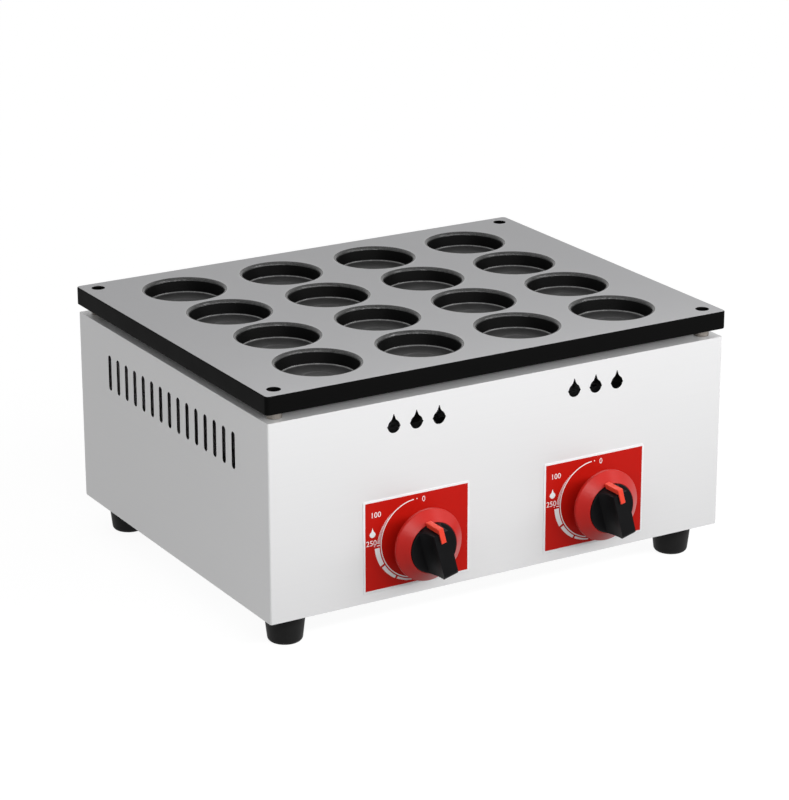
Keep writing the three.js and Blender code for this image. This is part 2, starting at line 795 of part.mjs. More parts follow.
// A wound spring as one tube of small sides along a helix about the y axis
function springSolid(side, length) {
  const steps = springCurls * springStepsPerCurl;
  const start = springCupBack + fitGap + springWireRadius;
  const centreAt = (t) => {
    const angle = 2 * Math.PI * springCurls * t;
    return new THREE.Vector3(
      side.x + springCoilRadius * Math.cos(angle),
      start + length * t,
      controlHeight + springCoilRadius * Math.sin(angle),
    );
  };
  const points = [];
  const triangles = [];
  for (let i = 0; i <= steps; i += 1) {
    const t = i / steps;
    const centre = centreAt(t);
    const out = new THREE.Vector3(centre.x - side.x, 0, centre.z - controlHeight).normalize();
    const along = new THREE.Vector3(0, 1, 0);
    for (let j = 0; j < springSides; j += 1) {
      const angle = (2 * Math.PI * j) / springSides;
      const point = centre.clone()
        .addScaledVector(out, springWireRadius * Math.cos(angle))
        .addScaledVector(along, springWireRadius * Math.sin(angle));
      points.push(point.x, point.y, point.z);
    }
  }
  for (let i = 0; i < steps; i += 1) {
    for (let j = 0; j < springSides; j += 1) {
      const a = i * springSides + j;
      const b = i * springSides + ((j + 1) % springSides);
      triangles.push(a, b, a + springSides, b, b + springSides, a + springSides);
    }
  }
  for (let j = 1; j < springSides - 1; j += 1) {
    const last = steps * springSides;
    triangles.push(0, j + 1, j, last, last + j, last + j + 1);
  }
  const geometry = new THREE.BufferGeometry();
  geometry.setAttribute('position', new THREE.Float32BufferAttribute(points, 3));
  geometry.setIndex(triangles);
  return { shape: solid(geometry), gap: leastGap(centreAt, steps) };
}

// The least gap between one curl of the wire and the next, measured on points of its centre line
function leastGap(centreAt, steps) {
  const line = Array.from({ length: steps + 1 }, (_, i) => centreAt(i / steps));
  let least = Infinity;
  for (let i = 0; i <= steps; i += 1) {
    for (let j = i + springStepsPerCurl / 2; j <= steps; j += 1) {
      least = Math.min(least, line[i].distanceTo(line[j]) - 2 * springWireRadius);
    }
  }
  return least;
}

function addSpring(side) {
  const length = valveChamberBack - springCupBack - 2 * (fitGap + springWireRadius);
  const { shape, gap } = springSolid(side, length);
  console.log(`return_spring_${side.name}: least gap between curls ${gap.toFixed(2)} mm`);
  add(`return_spring_${side.name}`, shape, brightSteel);
}

function addValve(side) {
  const centre = [side.x, controlHeight];
  const front = sheetThickness + fitGap;
  const half = valveHalfSize;
  const piezo = [side.x, controlHeight + piezoRise];
  const saddle = valveSaddleHalfWidth;
  let valve = joined(
    rod('y', valveFlangeRadius, front, front + valveFlangeLength, centre, roundSides),
    rod('y', valveBonnetRadius, front, valveBonnetBack + cutOverrun, centre, roundSides),
    block(side.x - half, side.x + half, valveBonnetBack, valveBackDepth,
      controlHeight - half, controlHeight + half),
    rod('y', valveOutletRadius, valveBackDepth - cutOverrun, valveBackDepth + valveOutletLength, centre),
    rod('z', valveNeckRadius, manifoldHeight, controlHeight - half + cutOverrun, [side.x, manifoldDepth]),
    block(side.x - saddle, side.x + saddle, manifoldDepth - saddle, manifoldDepth + saddle,
      manifoldHeight, manifoldHeight + saddle),
    rod('y', piezoRadius, piezoFront, piezoBack, piezo),
    block(side.x - piezoWebHalfWidth, side.x + piezoWebHalfWidth, valveBonnetBack, piezoBack,
      controlHeight, controlHeight + piezoRise),
    rod('y', piezoTerminalRadius, piezoFront, piezoBack + piezoTerminalLength, piezo, smallSides),
  );
  const pipeEnds = [side.x - 2 * saddle, side.x + 2 * saddle];
  const cuts = [
    rod('y', valveChamberRadius, front - cutOverrun, valveChamberBack, centre, roundSides),
    rod('y', stemRadius + fitGap, valveChamberBack - cutOverrun, valveSeatDepth, centre),
    rod('x', manifoldRadius + fitGap, ...pipeEnds, [manifoldDepth, manifoldHeight]),
  ];
  for (const cut of cuts) valve = valve.subtract(cut);
  add(`gas_valve_${side.name}`, valve, brass);
}

function addInjector(side) {
  const centre = [side.x, controlHeight];
  const start = valveBackDepth + valveOutletLength;
  const hexEnd = start + injectorHexLength;
  const hex = rod('y', injectorHexRadius, start, hexEnd, centre, hexSides);
  const nozzle = rod('y', injectorNozzleRadius, hexEnd - cutOverrun, bellFaceBack, centre, smallSides);
  const bore = rod('y', injectorBore, start - cutOverrun, bellFaceBack + cutOverrun, centre, hexSides);
  add(`injector_${side.name}`, hex.add(nozzle).subtract(bore), brass);
}

// One of the windows that let air into the burner's mouth, the same in the mouth and in its shutter
function airWindow(side, index, start, thickness) {
  const middle = Math.PI / 2 + (index * 2 * Math.PI) / windowCount;
  const [from, to] = [middle - windowAngle / 2, middle + windowAngle / 2];
  const shape = new THREE.Shape();
  shape.absarc(side.x, controlHeight, windowOuterRadius, from, to, false);
  shape.absarc(side.x, controlHeight, windowInnerRadius, to, from, true);
  return extruded('front', shape, start - cutOverrun, thickness + 2 * cutOverrun);
}

// A burner's tubes, drawn once for the outside and once, less the wall, for the inside
function burnerTubes(side, wall) {
  const bar = burnerBarRadius - wall;
  const mixing = mixingRadius - wall;
  const bell = bellRadius - wall;
  const middle = side.sign * cupPitchX;
  const face = wall > 0 ? bellFaceBack : bellDepth;
  const [barFront, barBack] = [frontRow - burnerOverreach + wall, backRow + burnerOverreach - wall];
  const centre = [side.x, controlHeight];
  const elbow = new THREE.SphereGeometry(mixing, pipeSides, pipeSides / 2);
  const tubes = [
    turned('y', [
      [0, face],
      [bell, face],
      [bell, bellDepth + bellLength],
      [mixing, bellDepth + bellLength + bellConeLength],
      [0, bellDepth + bellLength + bellConeLength],
    ], centre),
    rod('y', mixing, bellDepth + bellLength + bellConeLength / 2, halfDepth, centre),
    solid(elbow.translate(side.x, halfDepth, controlHeight)),
    rod('z', mixing, controlHeight, burnerHeight, [side.x, halfDepth]),
    rod('x', bar, middle - cupPitchX / 2, middle + cupPitchX / 2, [halfDepth, burnerHeight]),
  ];
  for (const offset of [-cupPitchX / 2, cupPitchX / 2]) {
    tubes.push(rod('y', bar, barFront, barBack, [middle + offset, burnerHeight]));
  }
  return joined(...tubes);
}

function addBurner(side) {
  const centre = [side.x, controlHeight];
  const collarFront = bellDepth - collarLength;
  let burner = burnerTubes(side, 0).subtract(burnerTubes(side, burnerWall));
  burner = burner.add(rod('y', collarRadius, collarFront, bellFaceBack, centre));
  const bore = rod('y', collarBore, collarFront - cutOverrun, bellFaceBack + cutOverrun, centre);
  burner = burner.subtract(bore);
  for (let i = 0; i < windowCount; i += 1) {
    burner = burner.subtract(airWindow(side, i, bellDepth, bellFaceThickness));
  }
  const pitch = (backRow - frontRow + burnerOverreach) / slotCount;
  for (const offset of [-cupPitchX / 2, cupPitchX / 2]) {
    const x = side.sign * cupPitchX + offset;
    for (let i = 0; i < slotCount; i += 1) {
      const y = halfDepth + (i - (slotCount - 1) / 2) * pitch;
      burner = burner.subtract(block(x - slotLength / 2, x + slotLength / 2, y - slotWidth / 2,
        y + slotWidth / 2, burnerHeight, burnerHeight + burnerBarRadius + cutOverrun));
    }
  }
  add(`burner_${side.name}`, burner, castIron);
}

function addShutter(side) {
  const centre = [side.x, controlHeight];
  const start = bellDepth - fitGap - shutterThickness;
  const end = start + shutterThickness;
  const half = shutterTabWidth / 2;
  const tabBottom = controlHeight - shutterRadius - shutterTabLength;
  const tabTop = controlHeight - (collarRadius + shutterRadius) / 2;
  let shutter = pipe('y', shutterRadius, collarRadius + fitGap, start, end, centre, roundSides);
  shutter = shutter.add(block(side.x - half, side.x + half, start, end, tabBottom, tabTop));
  for (let i = 0; i < windowCount; i += 1) {
    shutter = shutter.subtract(airWindow(side, i, start, shutterThickness));
  }
  add(`air_shutter_${side.name}`, shutter, brightSteel);
}

function addGasPipes() {
  const centre = [manifoldDepth, manifoldHeight];
  const from = sides[0].x - manifoldOverhang;
  const to = sides[1].x + manifoldOverhang;
  const bore = manifoldRadius - manifoldWall;
  const teeEnd = manifoldDepth + teeLength;
  const feed = [controlShift, manifoldHeight];
  let manifold = rod('x', manifoldRadius, from, to, centre)
    .add(rod('y', teeRadius, manifoldDepth, teeEnd, feed));
  const cuts = [
    rod('x', bore, from + manifoldEndWall, to - manifoldEndWall, centre),
    rod('y', feedRadius + fitGap, teeEnd - feedInsertion, teeEnd + cutOverrun, feed),
    rod('y', feedRadius - feedWall, manifoldDepth, teeEnd, feed, smallSides),
  ];
  const high = manifoldHeight + manifoldRadius + cutOverrun;
  for (const side of sides) {
    cuts.push(rod('z', feedRadius - feedWall, manifoldHeight, high, [side.x, manifoldDepth], smallSides));
  }
  for (const cut of cuts) manifold = manifold.subtract(cut);
  add('gas_manifold', manifold, galvanised);
  const feedStart = teeEnd - feedInsertion + fitGap;
  const socketFront = housingDepth - sheetThickness - inletFlangeLength - inletSocketLength;
  const feedEnd = socketFront + feedInsertion;
  add('feed_pipe', pipe('y', feedRadius, feedRadius - feedWall, feedStart, feedEnd, feed), galvanised);
  addInlet(feed, socketFront, feedEnd);
}

function addInlet(centre, socketFront, feedEnd) {
  const panelFront = housingDepth - sheetThickness;
  const nutEnd = housingDepth + inletNutLength;
  const outline = [
    [0, socketFront],
    [inletSocketRadius, socketFront],
    [inletSocketRadius, panelFront - inletFlangeLength],
    [inletFlangeRadius, panelFront - inletFlangeLength],
    [inletFlangeRadius, panelFront],
    [inletNeckRadius, panelFront],
    [inletNeckRadius, nutEnd],
    [inletBarbRoot, nutEnd],
  ];
  for (let i = 0; i < inletBarbCount; i += 1) {
    const ridge = nutEnd + (i + 1) * inletBarbPitch;
    outline.push([inletBarbRoot, ridge - inletBarbPitch / 2]);
    outline.push([inletBarbRadius, ridge - inletBarbPitch / 2]);
    outline.push([inletBarbRoot, ridge]);
  }
  const end = nutEnd + inletBarbCount * inletBarbPitch + inletTailLength;
  outline.push([inletBarbRoot, end], [0, end]);
  let inlet = turned('y', outline, centre, pipeSides);
  inlet = inlet.subtract(rod('y', feedRadius + fitGap, socketFront - cutOverrun, feedEnd + fitGap, centre));
  inlet = inlet.subtract(rod('y', inletBore, socketFront, end + cutOverrun, centre, smallSides));
  add('gas_inlet', inlet, brass);
  const nut = rod('y', inletNutRadius, housingDepth, nutEnd, centre, hexSides);
  const hole = rod('y', inletNeckRadius + fitGap, housingDepth - cutOverrun, nutEnd + cutOverrun, centre);
  add('inlet_nut', nut.subtract(hole), brass);
}

function electrodePlace(side) {
  return [side.sign * (cupPitchX / 2 + electrodeOffset), railFrontDepth + railWidth / 2];
}

// A rail with two lips that stands on the base pan and carries both burners' bars
function addRail(name, front, holes) {
  const back = front + railWidth;
  const end = innerWall - sheetThickness - fitGap;
  const wall = railThickness;
  const low = railHeight - wall - railLipHeight;
  let rail = block(-end, end, front, back, railHeight - wall, railHeight);
  for (const y of [front, back - wall]) {
    rail = rail.add(block(-end, end, y, y + wall, low, railHeight));
  }
  for (const sign of [-1, 1]) {
    const leg = [sign * end, sign * (end - wall)].sort((a, b) => a - b);
    const foot = [sign * end, sign * (end - railFootLength)].sort((a, b) => a - b);
    rail = rail.add(block(...leg, front, back, panFloor, railHeight));
    rail = rail.add(block(...foot, front, back, panFloor, panFloor + wall));
  }
  for (const place of holes) {
    const hole = rod('z', electrodeRadius + fitGap, low, railHeight + cutOverrun, place, smallSides);
    rail = rail.subtract(hole);
  }
  add(name, rail, galvanised);
}

function addShield() {
  const wall = sheetThickness;
  const low = controlHeight + shieldBottomRise;
  const high = housingTop - shieldTopDrop;
  const back = shieldDepth + wall;
  let shield = block(-innerWall, innerWall, shieldDepth, back, low, high);
  for (const sign of [-1, 1]) {
    const tab = [sign * innerWall, sign * (innerWall - wall)].sort((a, b) => a - b);
    shield = shield.add(block(...tab, shieldDepth - shieldTabLength, back, low, high));
  }
  add('heat_shield', shield, galvanised);
}

function addIgnition(side) {
  const place = electrodePlace(side);
  const top = railHeight + electrodeCollarHeight;
  const tip = railHeight + electrodeAbove + electrodeTipLength;
  const body = joined(
    rod('z', electrodeRadius, railHeight - electrodeBelow, railHeight + electrodeAbove, place, smallSides),
    rod('z', electrodeCollarRadius, railHeight, top, place, smallSides),
    rod('z', electrodeTipRadius, railHeight, tip, place, hexSides),
  );
  add(`igniter_electrode_${side.name}`, body, ceramic);
  const terminalBack = piezoBack + piezoTerminalLength;
  const start = new THREE.Vector3(side.x, terminalBack + fitGap, controlHeight + piezoRise);
  const end = new THREE.Vector3(place[0], place[1], railHeight - electrodeBelow - fitGap);
  const straight = 4 * leadRadius;
  const route = new THREE.CatmullRomCurve3([
    start,
    start.clone().add(new THREE.Vector3(0, straight, 0)),
    new THREE.Vector3((start.x + end.x) / 2, (start.y + end.y) / 2, start.z + straight / 2),
    end.clone().add(new THREE.Vector3(0, 0, -straight)),
    end,
  ]);
  const section = new THREE.Shape();
  section.absarc(0, 0, leadRadius, 0, 2 * Math.PI, false);
  const settings = { steps: leadSteps, extrudePath: route, curveSegments: leadSides / 2 };
  add(`ignition_lead_${side.name}`, solid(new THREE.ExtrudeGeometry(section, settings)), leadSleeve);
}

addHousing();
addRearPanel();
addBasePan();
addMouldPlate();
for (const corner of corners) {
  addPlateMounting(corner);
  addFoot(corner);
}
for (const side of sides) {
  addDialPlate(side);
  addKnob(side);
  addStem(side);
  addSpring(side);
  addValve(side);
  addInjector(side);
  addBurner(side);
  addShutter(side);
  addIgnition(side);
}
addGasPipes();
addRail('burner_rail_front', railFrontDepth, sides.map(electrodePlace));
addRail('burner_rail_rear', railRearDepth, []);
addShield();

// The footprint reaches from the knobs' tails to the inlet's end
machine.position.y = -(housingDepth + rearReach - knobReach) / 2;

export default machine;
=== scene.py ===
"""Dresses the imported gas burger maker: fine meshes, procedural finishes and a plain studio, in metres."""

import json
import math

import bmesh
import bpy
from bpy.props import FloatProperty, FloatVectorProperty, IntProperty, PointerProperty
from mathutils import Matrix, Vector


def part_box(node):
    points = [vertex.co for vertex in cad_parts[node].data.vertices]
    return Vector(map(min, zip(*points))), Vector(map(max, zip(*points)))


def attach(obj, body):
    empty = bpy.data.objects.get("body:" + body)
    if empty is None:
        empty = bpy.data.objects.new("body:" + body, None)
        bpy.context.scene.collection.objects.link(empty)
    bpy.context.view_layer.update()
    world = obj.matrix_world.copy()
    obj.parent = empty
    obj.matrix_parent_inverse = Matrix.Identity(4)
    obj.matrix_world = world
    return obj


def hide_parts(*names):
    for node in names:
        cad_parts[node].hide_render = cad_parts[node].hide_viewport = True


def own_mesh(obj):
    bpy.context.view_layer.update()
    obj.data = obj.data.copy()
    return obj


bl_info = {
    "name": "Gas burger maker",
    "version": (1, 0, 0),
    "blender": (4, 5, 0),
    "location": "3D Viewport > Sidebar > Burger maker",
    "description": "Builds the visible pieces of a countertop gas burger maker around its fixed frame",
    "category": "Object",
}

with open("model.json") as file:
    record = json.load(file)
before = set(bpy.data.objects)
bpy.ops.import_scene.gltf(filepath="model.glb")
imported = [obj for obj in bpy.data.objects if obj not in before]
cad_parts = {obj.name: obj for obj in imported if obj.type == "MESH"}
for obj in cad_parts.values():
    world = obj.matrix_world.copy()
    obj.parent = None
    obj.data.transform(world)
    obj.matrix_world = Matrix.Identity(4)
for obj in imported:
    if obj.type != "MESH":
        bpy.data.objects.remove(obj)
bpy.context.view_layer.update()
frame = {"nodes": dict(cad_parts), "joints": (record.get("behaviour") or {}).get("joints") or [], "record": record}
BODIES = frame["record"]["behaviour"]["bodies"]
NODE_BODY = {node: body for body, nodes in BODIES.items() for node in nodes}
NODE_SLOT = {part["node"]: part["material_slot"] for part in frame["record"]["subparts"]}
SIDES = ("left", "right")
CORNERS = ("front_left", "front_right", "back_left", "back_right")
BOLTS = [f"plate_bolt_{corner}" for corner in CORNERS]
FOOT_SCREWS = [f"foot_screw_{corner}" for corner in CORNERS]
REAR_SCREWS = [f"rear_screw_{level}_{side}" for level in ("bottom", "top") for side in SIDES]
PAN_SCREWS = ["pan_screw_front", "pan_screw_rear"]

MM = 0.001
MERGE = 1e-6
FULL_TURN = 2 * math.pi
QUARTER = math.pi / 2
ROUND = 48
ROUND_LARGE = 72
ROUND_FINE = 96
ROUND_BAR = 32
ROUND_SMALL = 24
ROUND_LEAD = 16
ARC_STEPS = 5
FLANK_STEPS = 16
PATH_STEPS = 12
OVERRUN = 2 * MM
FIT_GAP = 0.3 * MM
SEAT_GAP = 0.05 * MM
THIN_EDGE = 0.3 * MM
CRISP_EDGE = 0.4 * MM
SMALL_EDGE = 0.5 * MM
ROUND_EDGE = 0.6 * MM
SOFT_EDGE = 0.8 * MM
WIDE_EDGE = 1.0 * MM
NEARLY_HALF = 0.499
NEARLY_ALL = 0.999
FLAT_ANGLE = math.radians(0.5)
SMOOTH_ANGLE = math.radians(35)
BEVEL_ANGLE = math.radians(40)

# The print on a dial plate: places and sizes in millimetres from the knob's axis, turns in degrees
DIGITS = {"0": (7.0, 35.4), "100": (-42.3, 29.4), "250": (-46.9, 3.3)}
DIGIT_FONT_SCALE = 1.45
DIAL_FLAME = (-45.7, 11.6, 2.9, 6.0)
DIAL_ARC = (95, 257)
HATCH = {"start": 132, "turn": 47, "thin": 0.75, "lean": 1.4, "steps": 30}
HEAT_BLOCKS = ((183, 208, 5.0, 4.2), (211, 236, 3.6, 2.6), (239, 262, 2.2, 1.0))
TICK = 3.4
OUTER_TICK = (6.2, 1.0)

# Parts of the half width of the dial's line: its end dot's radius and a tick's half width
END_DOT, TICK_HALF = 1.3, 0.8

# A flame's outline, in parts of the radius of its round body, and the arcs of that body in degrees
FLAME = {"neck": 1.04, "tip": 0.07, "flare": 0.28, "bend": 1.4, "point": 1.12}
FLAME_ARCS = ((60, 9, 8), (-15, -90, 10))

# How far the slope in a cup's floor reaches inwards, in parts of its depth
SLOPE_REACH = 1.2

SHELL_LOW, SHELL_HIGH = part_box("body_shell")
PLATE_LOW, PLATE_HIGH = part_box("mould_plate")
REAR_LOW, REAR_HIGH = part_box("rear_panel")
FRONT = SHELL_LOW.y
REAR = REAR_HIGH.y
HALF_WIDTH = SHELL_HIGH.x
MID_DEPTH = (FRONT + REAR) / 2
STEM_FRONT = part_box("valve_stem_left")[0].y
ELBOW_TURNS = [math.radians(turn) for turn in range(-90, 91, 15)]


def middle(node):
    """The centre of a CAD node's box."""
    low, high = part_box(node)
    return (low + high) / 2


# Settings that a user may change


def size(description, length):
    """A length, given here in millimetres."""
    return FloatProperty(description=description, default=length * MM, min=0.0, precision=5, unit="LENGTH")


def count(description, default):
    """A number of like things."""
    return IntProperty(description=description, default=default, min=1)


def colour(description, *linear):
    """A linear colour."""
    limits = {"size": 3, "min": 0.0, "max": 1.0, "subtype": "COLOR"}
    return FloatVectorProperty(description=description, default=linear, **limits)


def angle(description, degrees):
    """An angle, given here in degrees."""
    return FloatProperty(description=description, default=math.radians(degrees), subtype="ANGLE")


def amount(description, default, low=0.0):
    """A plain number."""
    return FloatProperty(description=description, default=default, min=low)


def place(description, *metres):
    """A place in space."""
    return FloatVectorProperty(description=description, default=metres, subtype="TRANSLATION", unit="LENGTH")


class SheetSizes(bpy.types.PropertyGroup):
    """Sizes of the folded housing, its rear panel and its base pan"""

    thickness: size("Thickness of the sheet", 1.2)
    bend: size("Outer radius of the upright front corners", 1.8)
    edge: size("Rounding of the cut edges", 0.28)
    top_flange: size("Width of the flange under the mould plate", 30)
    rear_flange: size("Width of the flange behind the rear panel", 14)
    opening_corner: size("Rounding of the corners of the opening at the top", 4)
    bottom_flange: size("Width of the flange under the base pan", 10)
    vents: count("Slots in each side", 15)
    rear_vents: count("Slots in the rear panel", 11)
    vent_pitch: size("Distance from slot to slot", 17.8)
    vent_width: size("Width of a slot", 6.4)
    vent_length: size("Height of a slot", 34.5)
    vent_drop: size("From the housing's top to the slots", 26)
    flames: count("Flame-shaped holes over each knob", 3)
    flame_pitch: size("Distance from flame hole to flame hole", 23.3)
    flame_drop: size("From the housing's top to the middle of a flame hole", 24.3)
    flame_radius: size("Radius of a flame hole's belly", 6.2)
    flame_tip: size("Height of a flame hole's tip over its belly", 11.2)
    shaft_hole: size("Radius of the hole behind a knob", 7)
    pan_slots: count("Air slots on each side of the base pan", 5)
    pan_slot_length: size("Length of an air slot", 90)
    pan_slot_width: size("Width of an air slot", 8)
    pan_slot_pitch: size("Distance from air slot to air slot", 32)
    pan_slot_offset: size("From the middle to the air slots", 115)


class PlateSizes(bpy.types.PropertyGroup):
    """Sizes of the cast mould plate and its cups"""

    columns: count("Cups in a row", 4)
    pitch_x: size("Distance from cup to cup in a row", 104.4)
    pitch_y: size("Distance from row to row", 86.1)
    shifts: FloatVectorProperty(
        description="How far each row stands to the right, front row first",
        default=(-0.7 * MM, 6.3 * MM, 2.3 * MM, -0.7 * MM),
        size=4,
        unit="LENGTH",
    )
    mouth: size("Radius of a cup below its lip", 37.4)
    lip: size("Rounding at a cup's mouth", 3)
    land: size("Bare ring round a cup's lip", 0.5)
    draft: size("How far the wall leans in", 1.4)
    depth: size("Depth of a cup", 14)
    floor_round: size("Radius between wall and floor", 2.2)
    step_radius: size("Radius of the sunk disc in the floor", 15.6)
    step_depth: size("Depth of the sunk disc", 0.7)
    bowl_wall: size("Thickness of the wall round a cup", 4.5)
    bowl_floor: size("Thickness under a cup", 3.3)
    web: size("Thickness of the plate between the cups", 8)
    rim: size("From the housing's sides to the hollow underneath", 8)
    corner: size("Radius of the upright corners", 4)
    edge: size("Rounding of the outer edges", 1.1)
    bolt_inset: size("From the housing's sides to a bolt", 14)
    bolt_hole: size("Radius of the counterbore over a bolt", 6)
    bolt_sink: size("Depth of a counterbore", 12)
    bolt_chamfer: size("Chamfer of a counterbore", 0.4)
    bolt_shank_hole: size("Radius of the hole for a bolt's shank", 3.3)
    boss: size("Radius of the boss round a bolt", 11)


class DialSizes(bpy.types.PropertyGroup):
    """Sizes of the printed dial plates"""

    corner: size("Radius of the corners", 1.5)
    border: size("Width of the white border", 1.9)
    ink: size("How far each layer of print stands out", 0.04)
    arc: size("Radius of the thin arc round the knob", 37)
    line: size("Width of the thin lines", 0.95)
    hatch: size("Greatest width of the hatched crescent", 3.2)
    block_inner: size("Inner radius of the heat blocks", 38.6)
    digit: size("Height of a digit", 5.0)


class KnobSizes(bpy.types.PropertyGroup):
    """Sizes of the knobs, with reaches measured out from the front panel"""

    skirt: size("Radius of the skirt's rim", 33.9)
    skirt_back: size("Reach of the back of the rim", 18.5)
    skirt_rim: size("Reach of the rim", 21.5)
    skirt_neck: size("Reach of the skirt's neck", 30)
    skirt_wall: size("Wall of the rim and of the web", 2)
    skirt_web: size("Reach of the back of the web", 21)
    boss: size("Radius of the round grip", 23.3)
    boss_reach: size("Reach of the round grip", 31)
    hub: size("Radius of the hub", 8)
    hub_reach: size("Reach of the back of the hub", 8)
    bar_half: size("Half width of the bar at its front", 7.4)
    bar_foot: size("Half width of the bar at its foot", 11.5)
    bar_flare: amount("How late the bar widens towards its foot", 3.0, 1.0)
    bar_reach: size("Reach of the bar's front", 51)
    tail_round: size("Rounding of the bar's tail", 5)
    grip_edge: size("Rounding of the grip's edges", 0.35)
    top_height: size("Height of the bar's top over the axis", 22.3)
    pointer_half: size("Half width of the pointer", 2.5)
    pointer_rise: size("How far the pointer stands over the bar's top", 5.2)
    pointer_front: size("Thickness of the pointer's front leg", 1.7)
    pointer_end: size("Height of the pointer's lower end over the axis", 13.2)
    rest_turn: angle("How far the grip points to the left at rest", 15)
    stem: size("Radius of the valve stem", 4)
    stem_flat: size("Depth of the flat on the stem", 1.2)
    stem_shoulder: size("Radius of the stem's shoulder", 5.6)
    shoulder_start: size("From the panel to the stem's shoulder", 10)
    shoulder_length: size("Length of the stem's shoulder", 4)


class SpringSizes(bpy.types.PropertyGroup):
    """Sizes of the return springs"""

    turns: amount("Turns of wire", 5.0, 1.0)
    radius: size("Radius of the coil's middle line", 6.1)
    wire: size("Radius of the wire", 0.7)
    steps: count("Points in one turn", 40)
    sides: count("Sides round the wire", 12)


class GasSizes(bpy.types.PropertyGroup):
    """Sizes of the valves, injectors, burners and pipes, with depths measured in from the front panel"""

    flange: size("Radius of a valve's flange", 14)
    flange_length: size("Thickness of a valve's flange", 3.5)
    bonnet: size("Radius of a valve's bonnet", 11)
    bonnet_back: size("Depth of the bonnet's back", 34)
    chamber: size("Radius of the spring's chamber", 8.2)
    chamber_back: size("Depth of the chamber's end", 36)
    block_back: size("Depth of the valve block's back", 62)
    block_half: size("Half width of the valve block", 15)
    outlet: size("Radius of the outlet and of the neck", 8)
    saddle_half: size("Half width of the saddle on the pipe", 12)
    striker: size("Radius of the spark striker", 8)
    striker_rise: size("Height of the striker over the stem", 21)
    striker_front: size("Depth of the striker's front", 20)
    striker_back: size("Depth of the striker's back", 52)
    terminal: size("Radius of the striker's terminal", 2.4)
    injector: size("Radius of the injector's hexagon", 6.5)
    injector_hex: size("Length of the injector's hexagon", 7)
    nozzle: size("Radius of the nozzle", 3.5)
    jet: size("Radius of the gas jet", 1.5)
    bar: size("Radius of a burner's bars", 11)
    wall: size("Wall of the burners", 1.5)
    mixing: size("Radius of a mixing tube", 12)
    bell: size("Radius of a burner's bell", 21)
    bell_depth: size("Depth of the bell's face", 101)
    bell_length: size("Length of the bell", 12)
    bell_cone: size("Length of the bell's cone", 16)
    bell_face: size("Thickness of the bell's face", 2)
    cast_edge: size("Rounding of a burner's edges", 1.5)
    cast_bend: size("Rounding of a burner's bends", 4)
    collar: size("Radius of the collar that the shutter turns on", 7)
    collar_bore: size("Bore of the collar", 4.5)
    collar_length: size("Length of the collar", 5)
    windows: count("Air windows in a bell", 3)
    window_inner: size("Inner radius of an air window", 9.5)
    window_outer: size("Outer radius of an air window", 17.5)
    window_angle: angle("Width of an air window", 56.25)
    ports: count("Flame ports in a bar", 8)
    port_pitch: size("Distance from port to port", 34.54)
    port_width: size("Width of a port", 1.6)
    port_length: size("Length of a port", 9)
    shutter: size("Radius of an air shutter", 20.5)
    tab_half: size("Half width of the shutter's tab", 3)
    shutter_edge: size("Rounding of the shutter's and the nut's edges", 0.2)
    pipe: size("Radius of the gas manifold", 9)
    pipe_edge: size("Rounding of the manifold's ends", 1.2)
    feed: size("Radius of the feed pipe", 6)
    feed_wall: size("Wall of the feed pipe", 1.5)
    inlet_socket: size("Radius of the inlet's socket", 10)
    inlet_flange: size("Radius of the inlet's flange", 12.5)
    inlet_flange_length: size("Thickness of the inlet's flange", 5)
    inlet_neck: size("Radius of the inlet's neck", 8)
    inlet_nut: size("Radius of the inlet's nut over its corners", 13)
    inlet_bore: size("Bore of the inlet", 2.8)
    barbs: count("Ridges on the hose tail", 3)
    barb: size("Radius of a ridge", 5)
    barb_root: size("Radius between the ridges", 4.1)
    barb_pitch: size("Distance from ridge to ridge", 7)
    electrode: size("Radius of an electrode's ceramic", 3.5)
    electrode_collar: size("Radius of an electrode's collar", 6)
    electrode_tip: size("Radius of an electrode's tip", 0.9)
    tip_length: size("Length of an electrode's tip", 13)
    lead: size("Radius of an ignition lead", 1.4)


class FastenerSizes(bpy.types.PropertyGroup):
    """Sizes of the spacers, bolts, screws and feet"""

    spacer: size("Radius of a spacer", 7)
    bolt_head: size("Radius of a bolt's head", 5)
    bolt_head_height: size("Height of a bolt's head", 6)
    bolt_shank: size("Radius of a bolt's shank", 3)
    bolt_socket: size("Radius of the hexagon socket over its corners", 2.99)
    bolt_socket_depth: size("Depth of the hexagon socket", 3)
    screw_head: size("Radius of a small screw's head", 4)
    screw_head_height: size("Height of a small screw's head", 2.2)
    screw_shank: size("Radius of a small screw's shank", 1.9)
    screw_length: size("Length of a small screw's shank", 8)
    foot_screw_head: size("Radius of a foot screw's head", 5)
    foot_screw_head_height: size("Height of its head", 3.4)
    foot_screw: size("Radius of a foot screw's shank", 2.4)
    foot_slot: size("Width of the slot in a foot screw's head", 1)
    foot_top: size("Radius of a foot under the base", 19.4)
    foot_bottom: size("Radius of a foot on the table", 15.7)
    foot_edge: size("Rounding of a foot's lower edge", 4.2)
    foot_recess: size("Radius of the recess under a foot", 6.5)
    foot_recess_depth: size("Depth of the recess under a foot", 15)


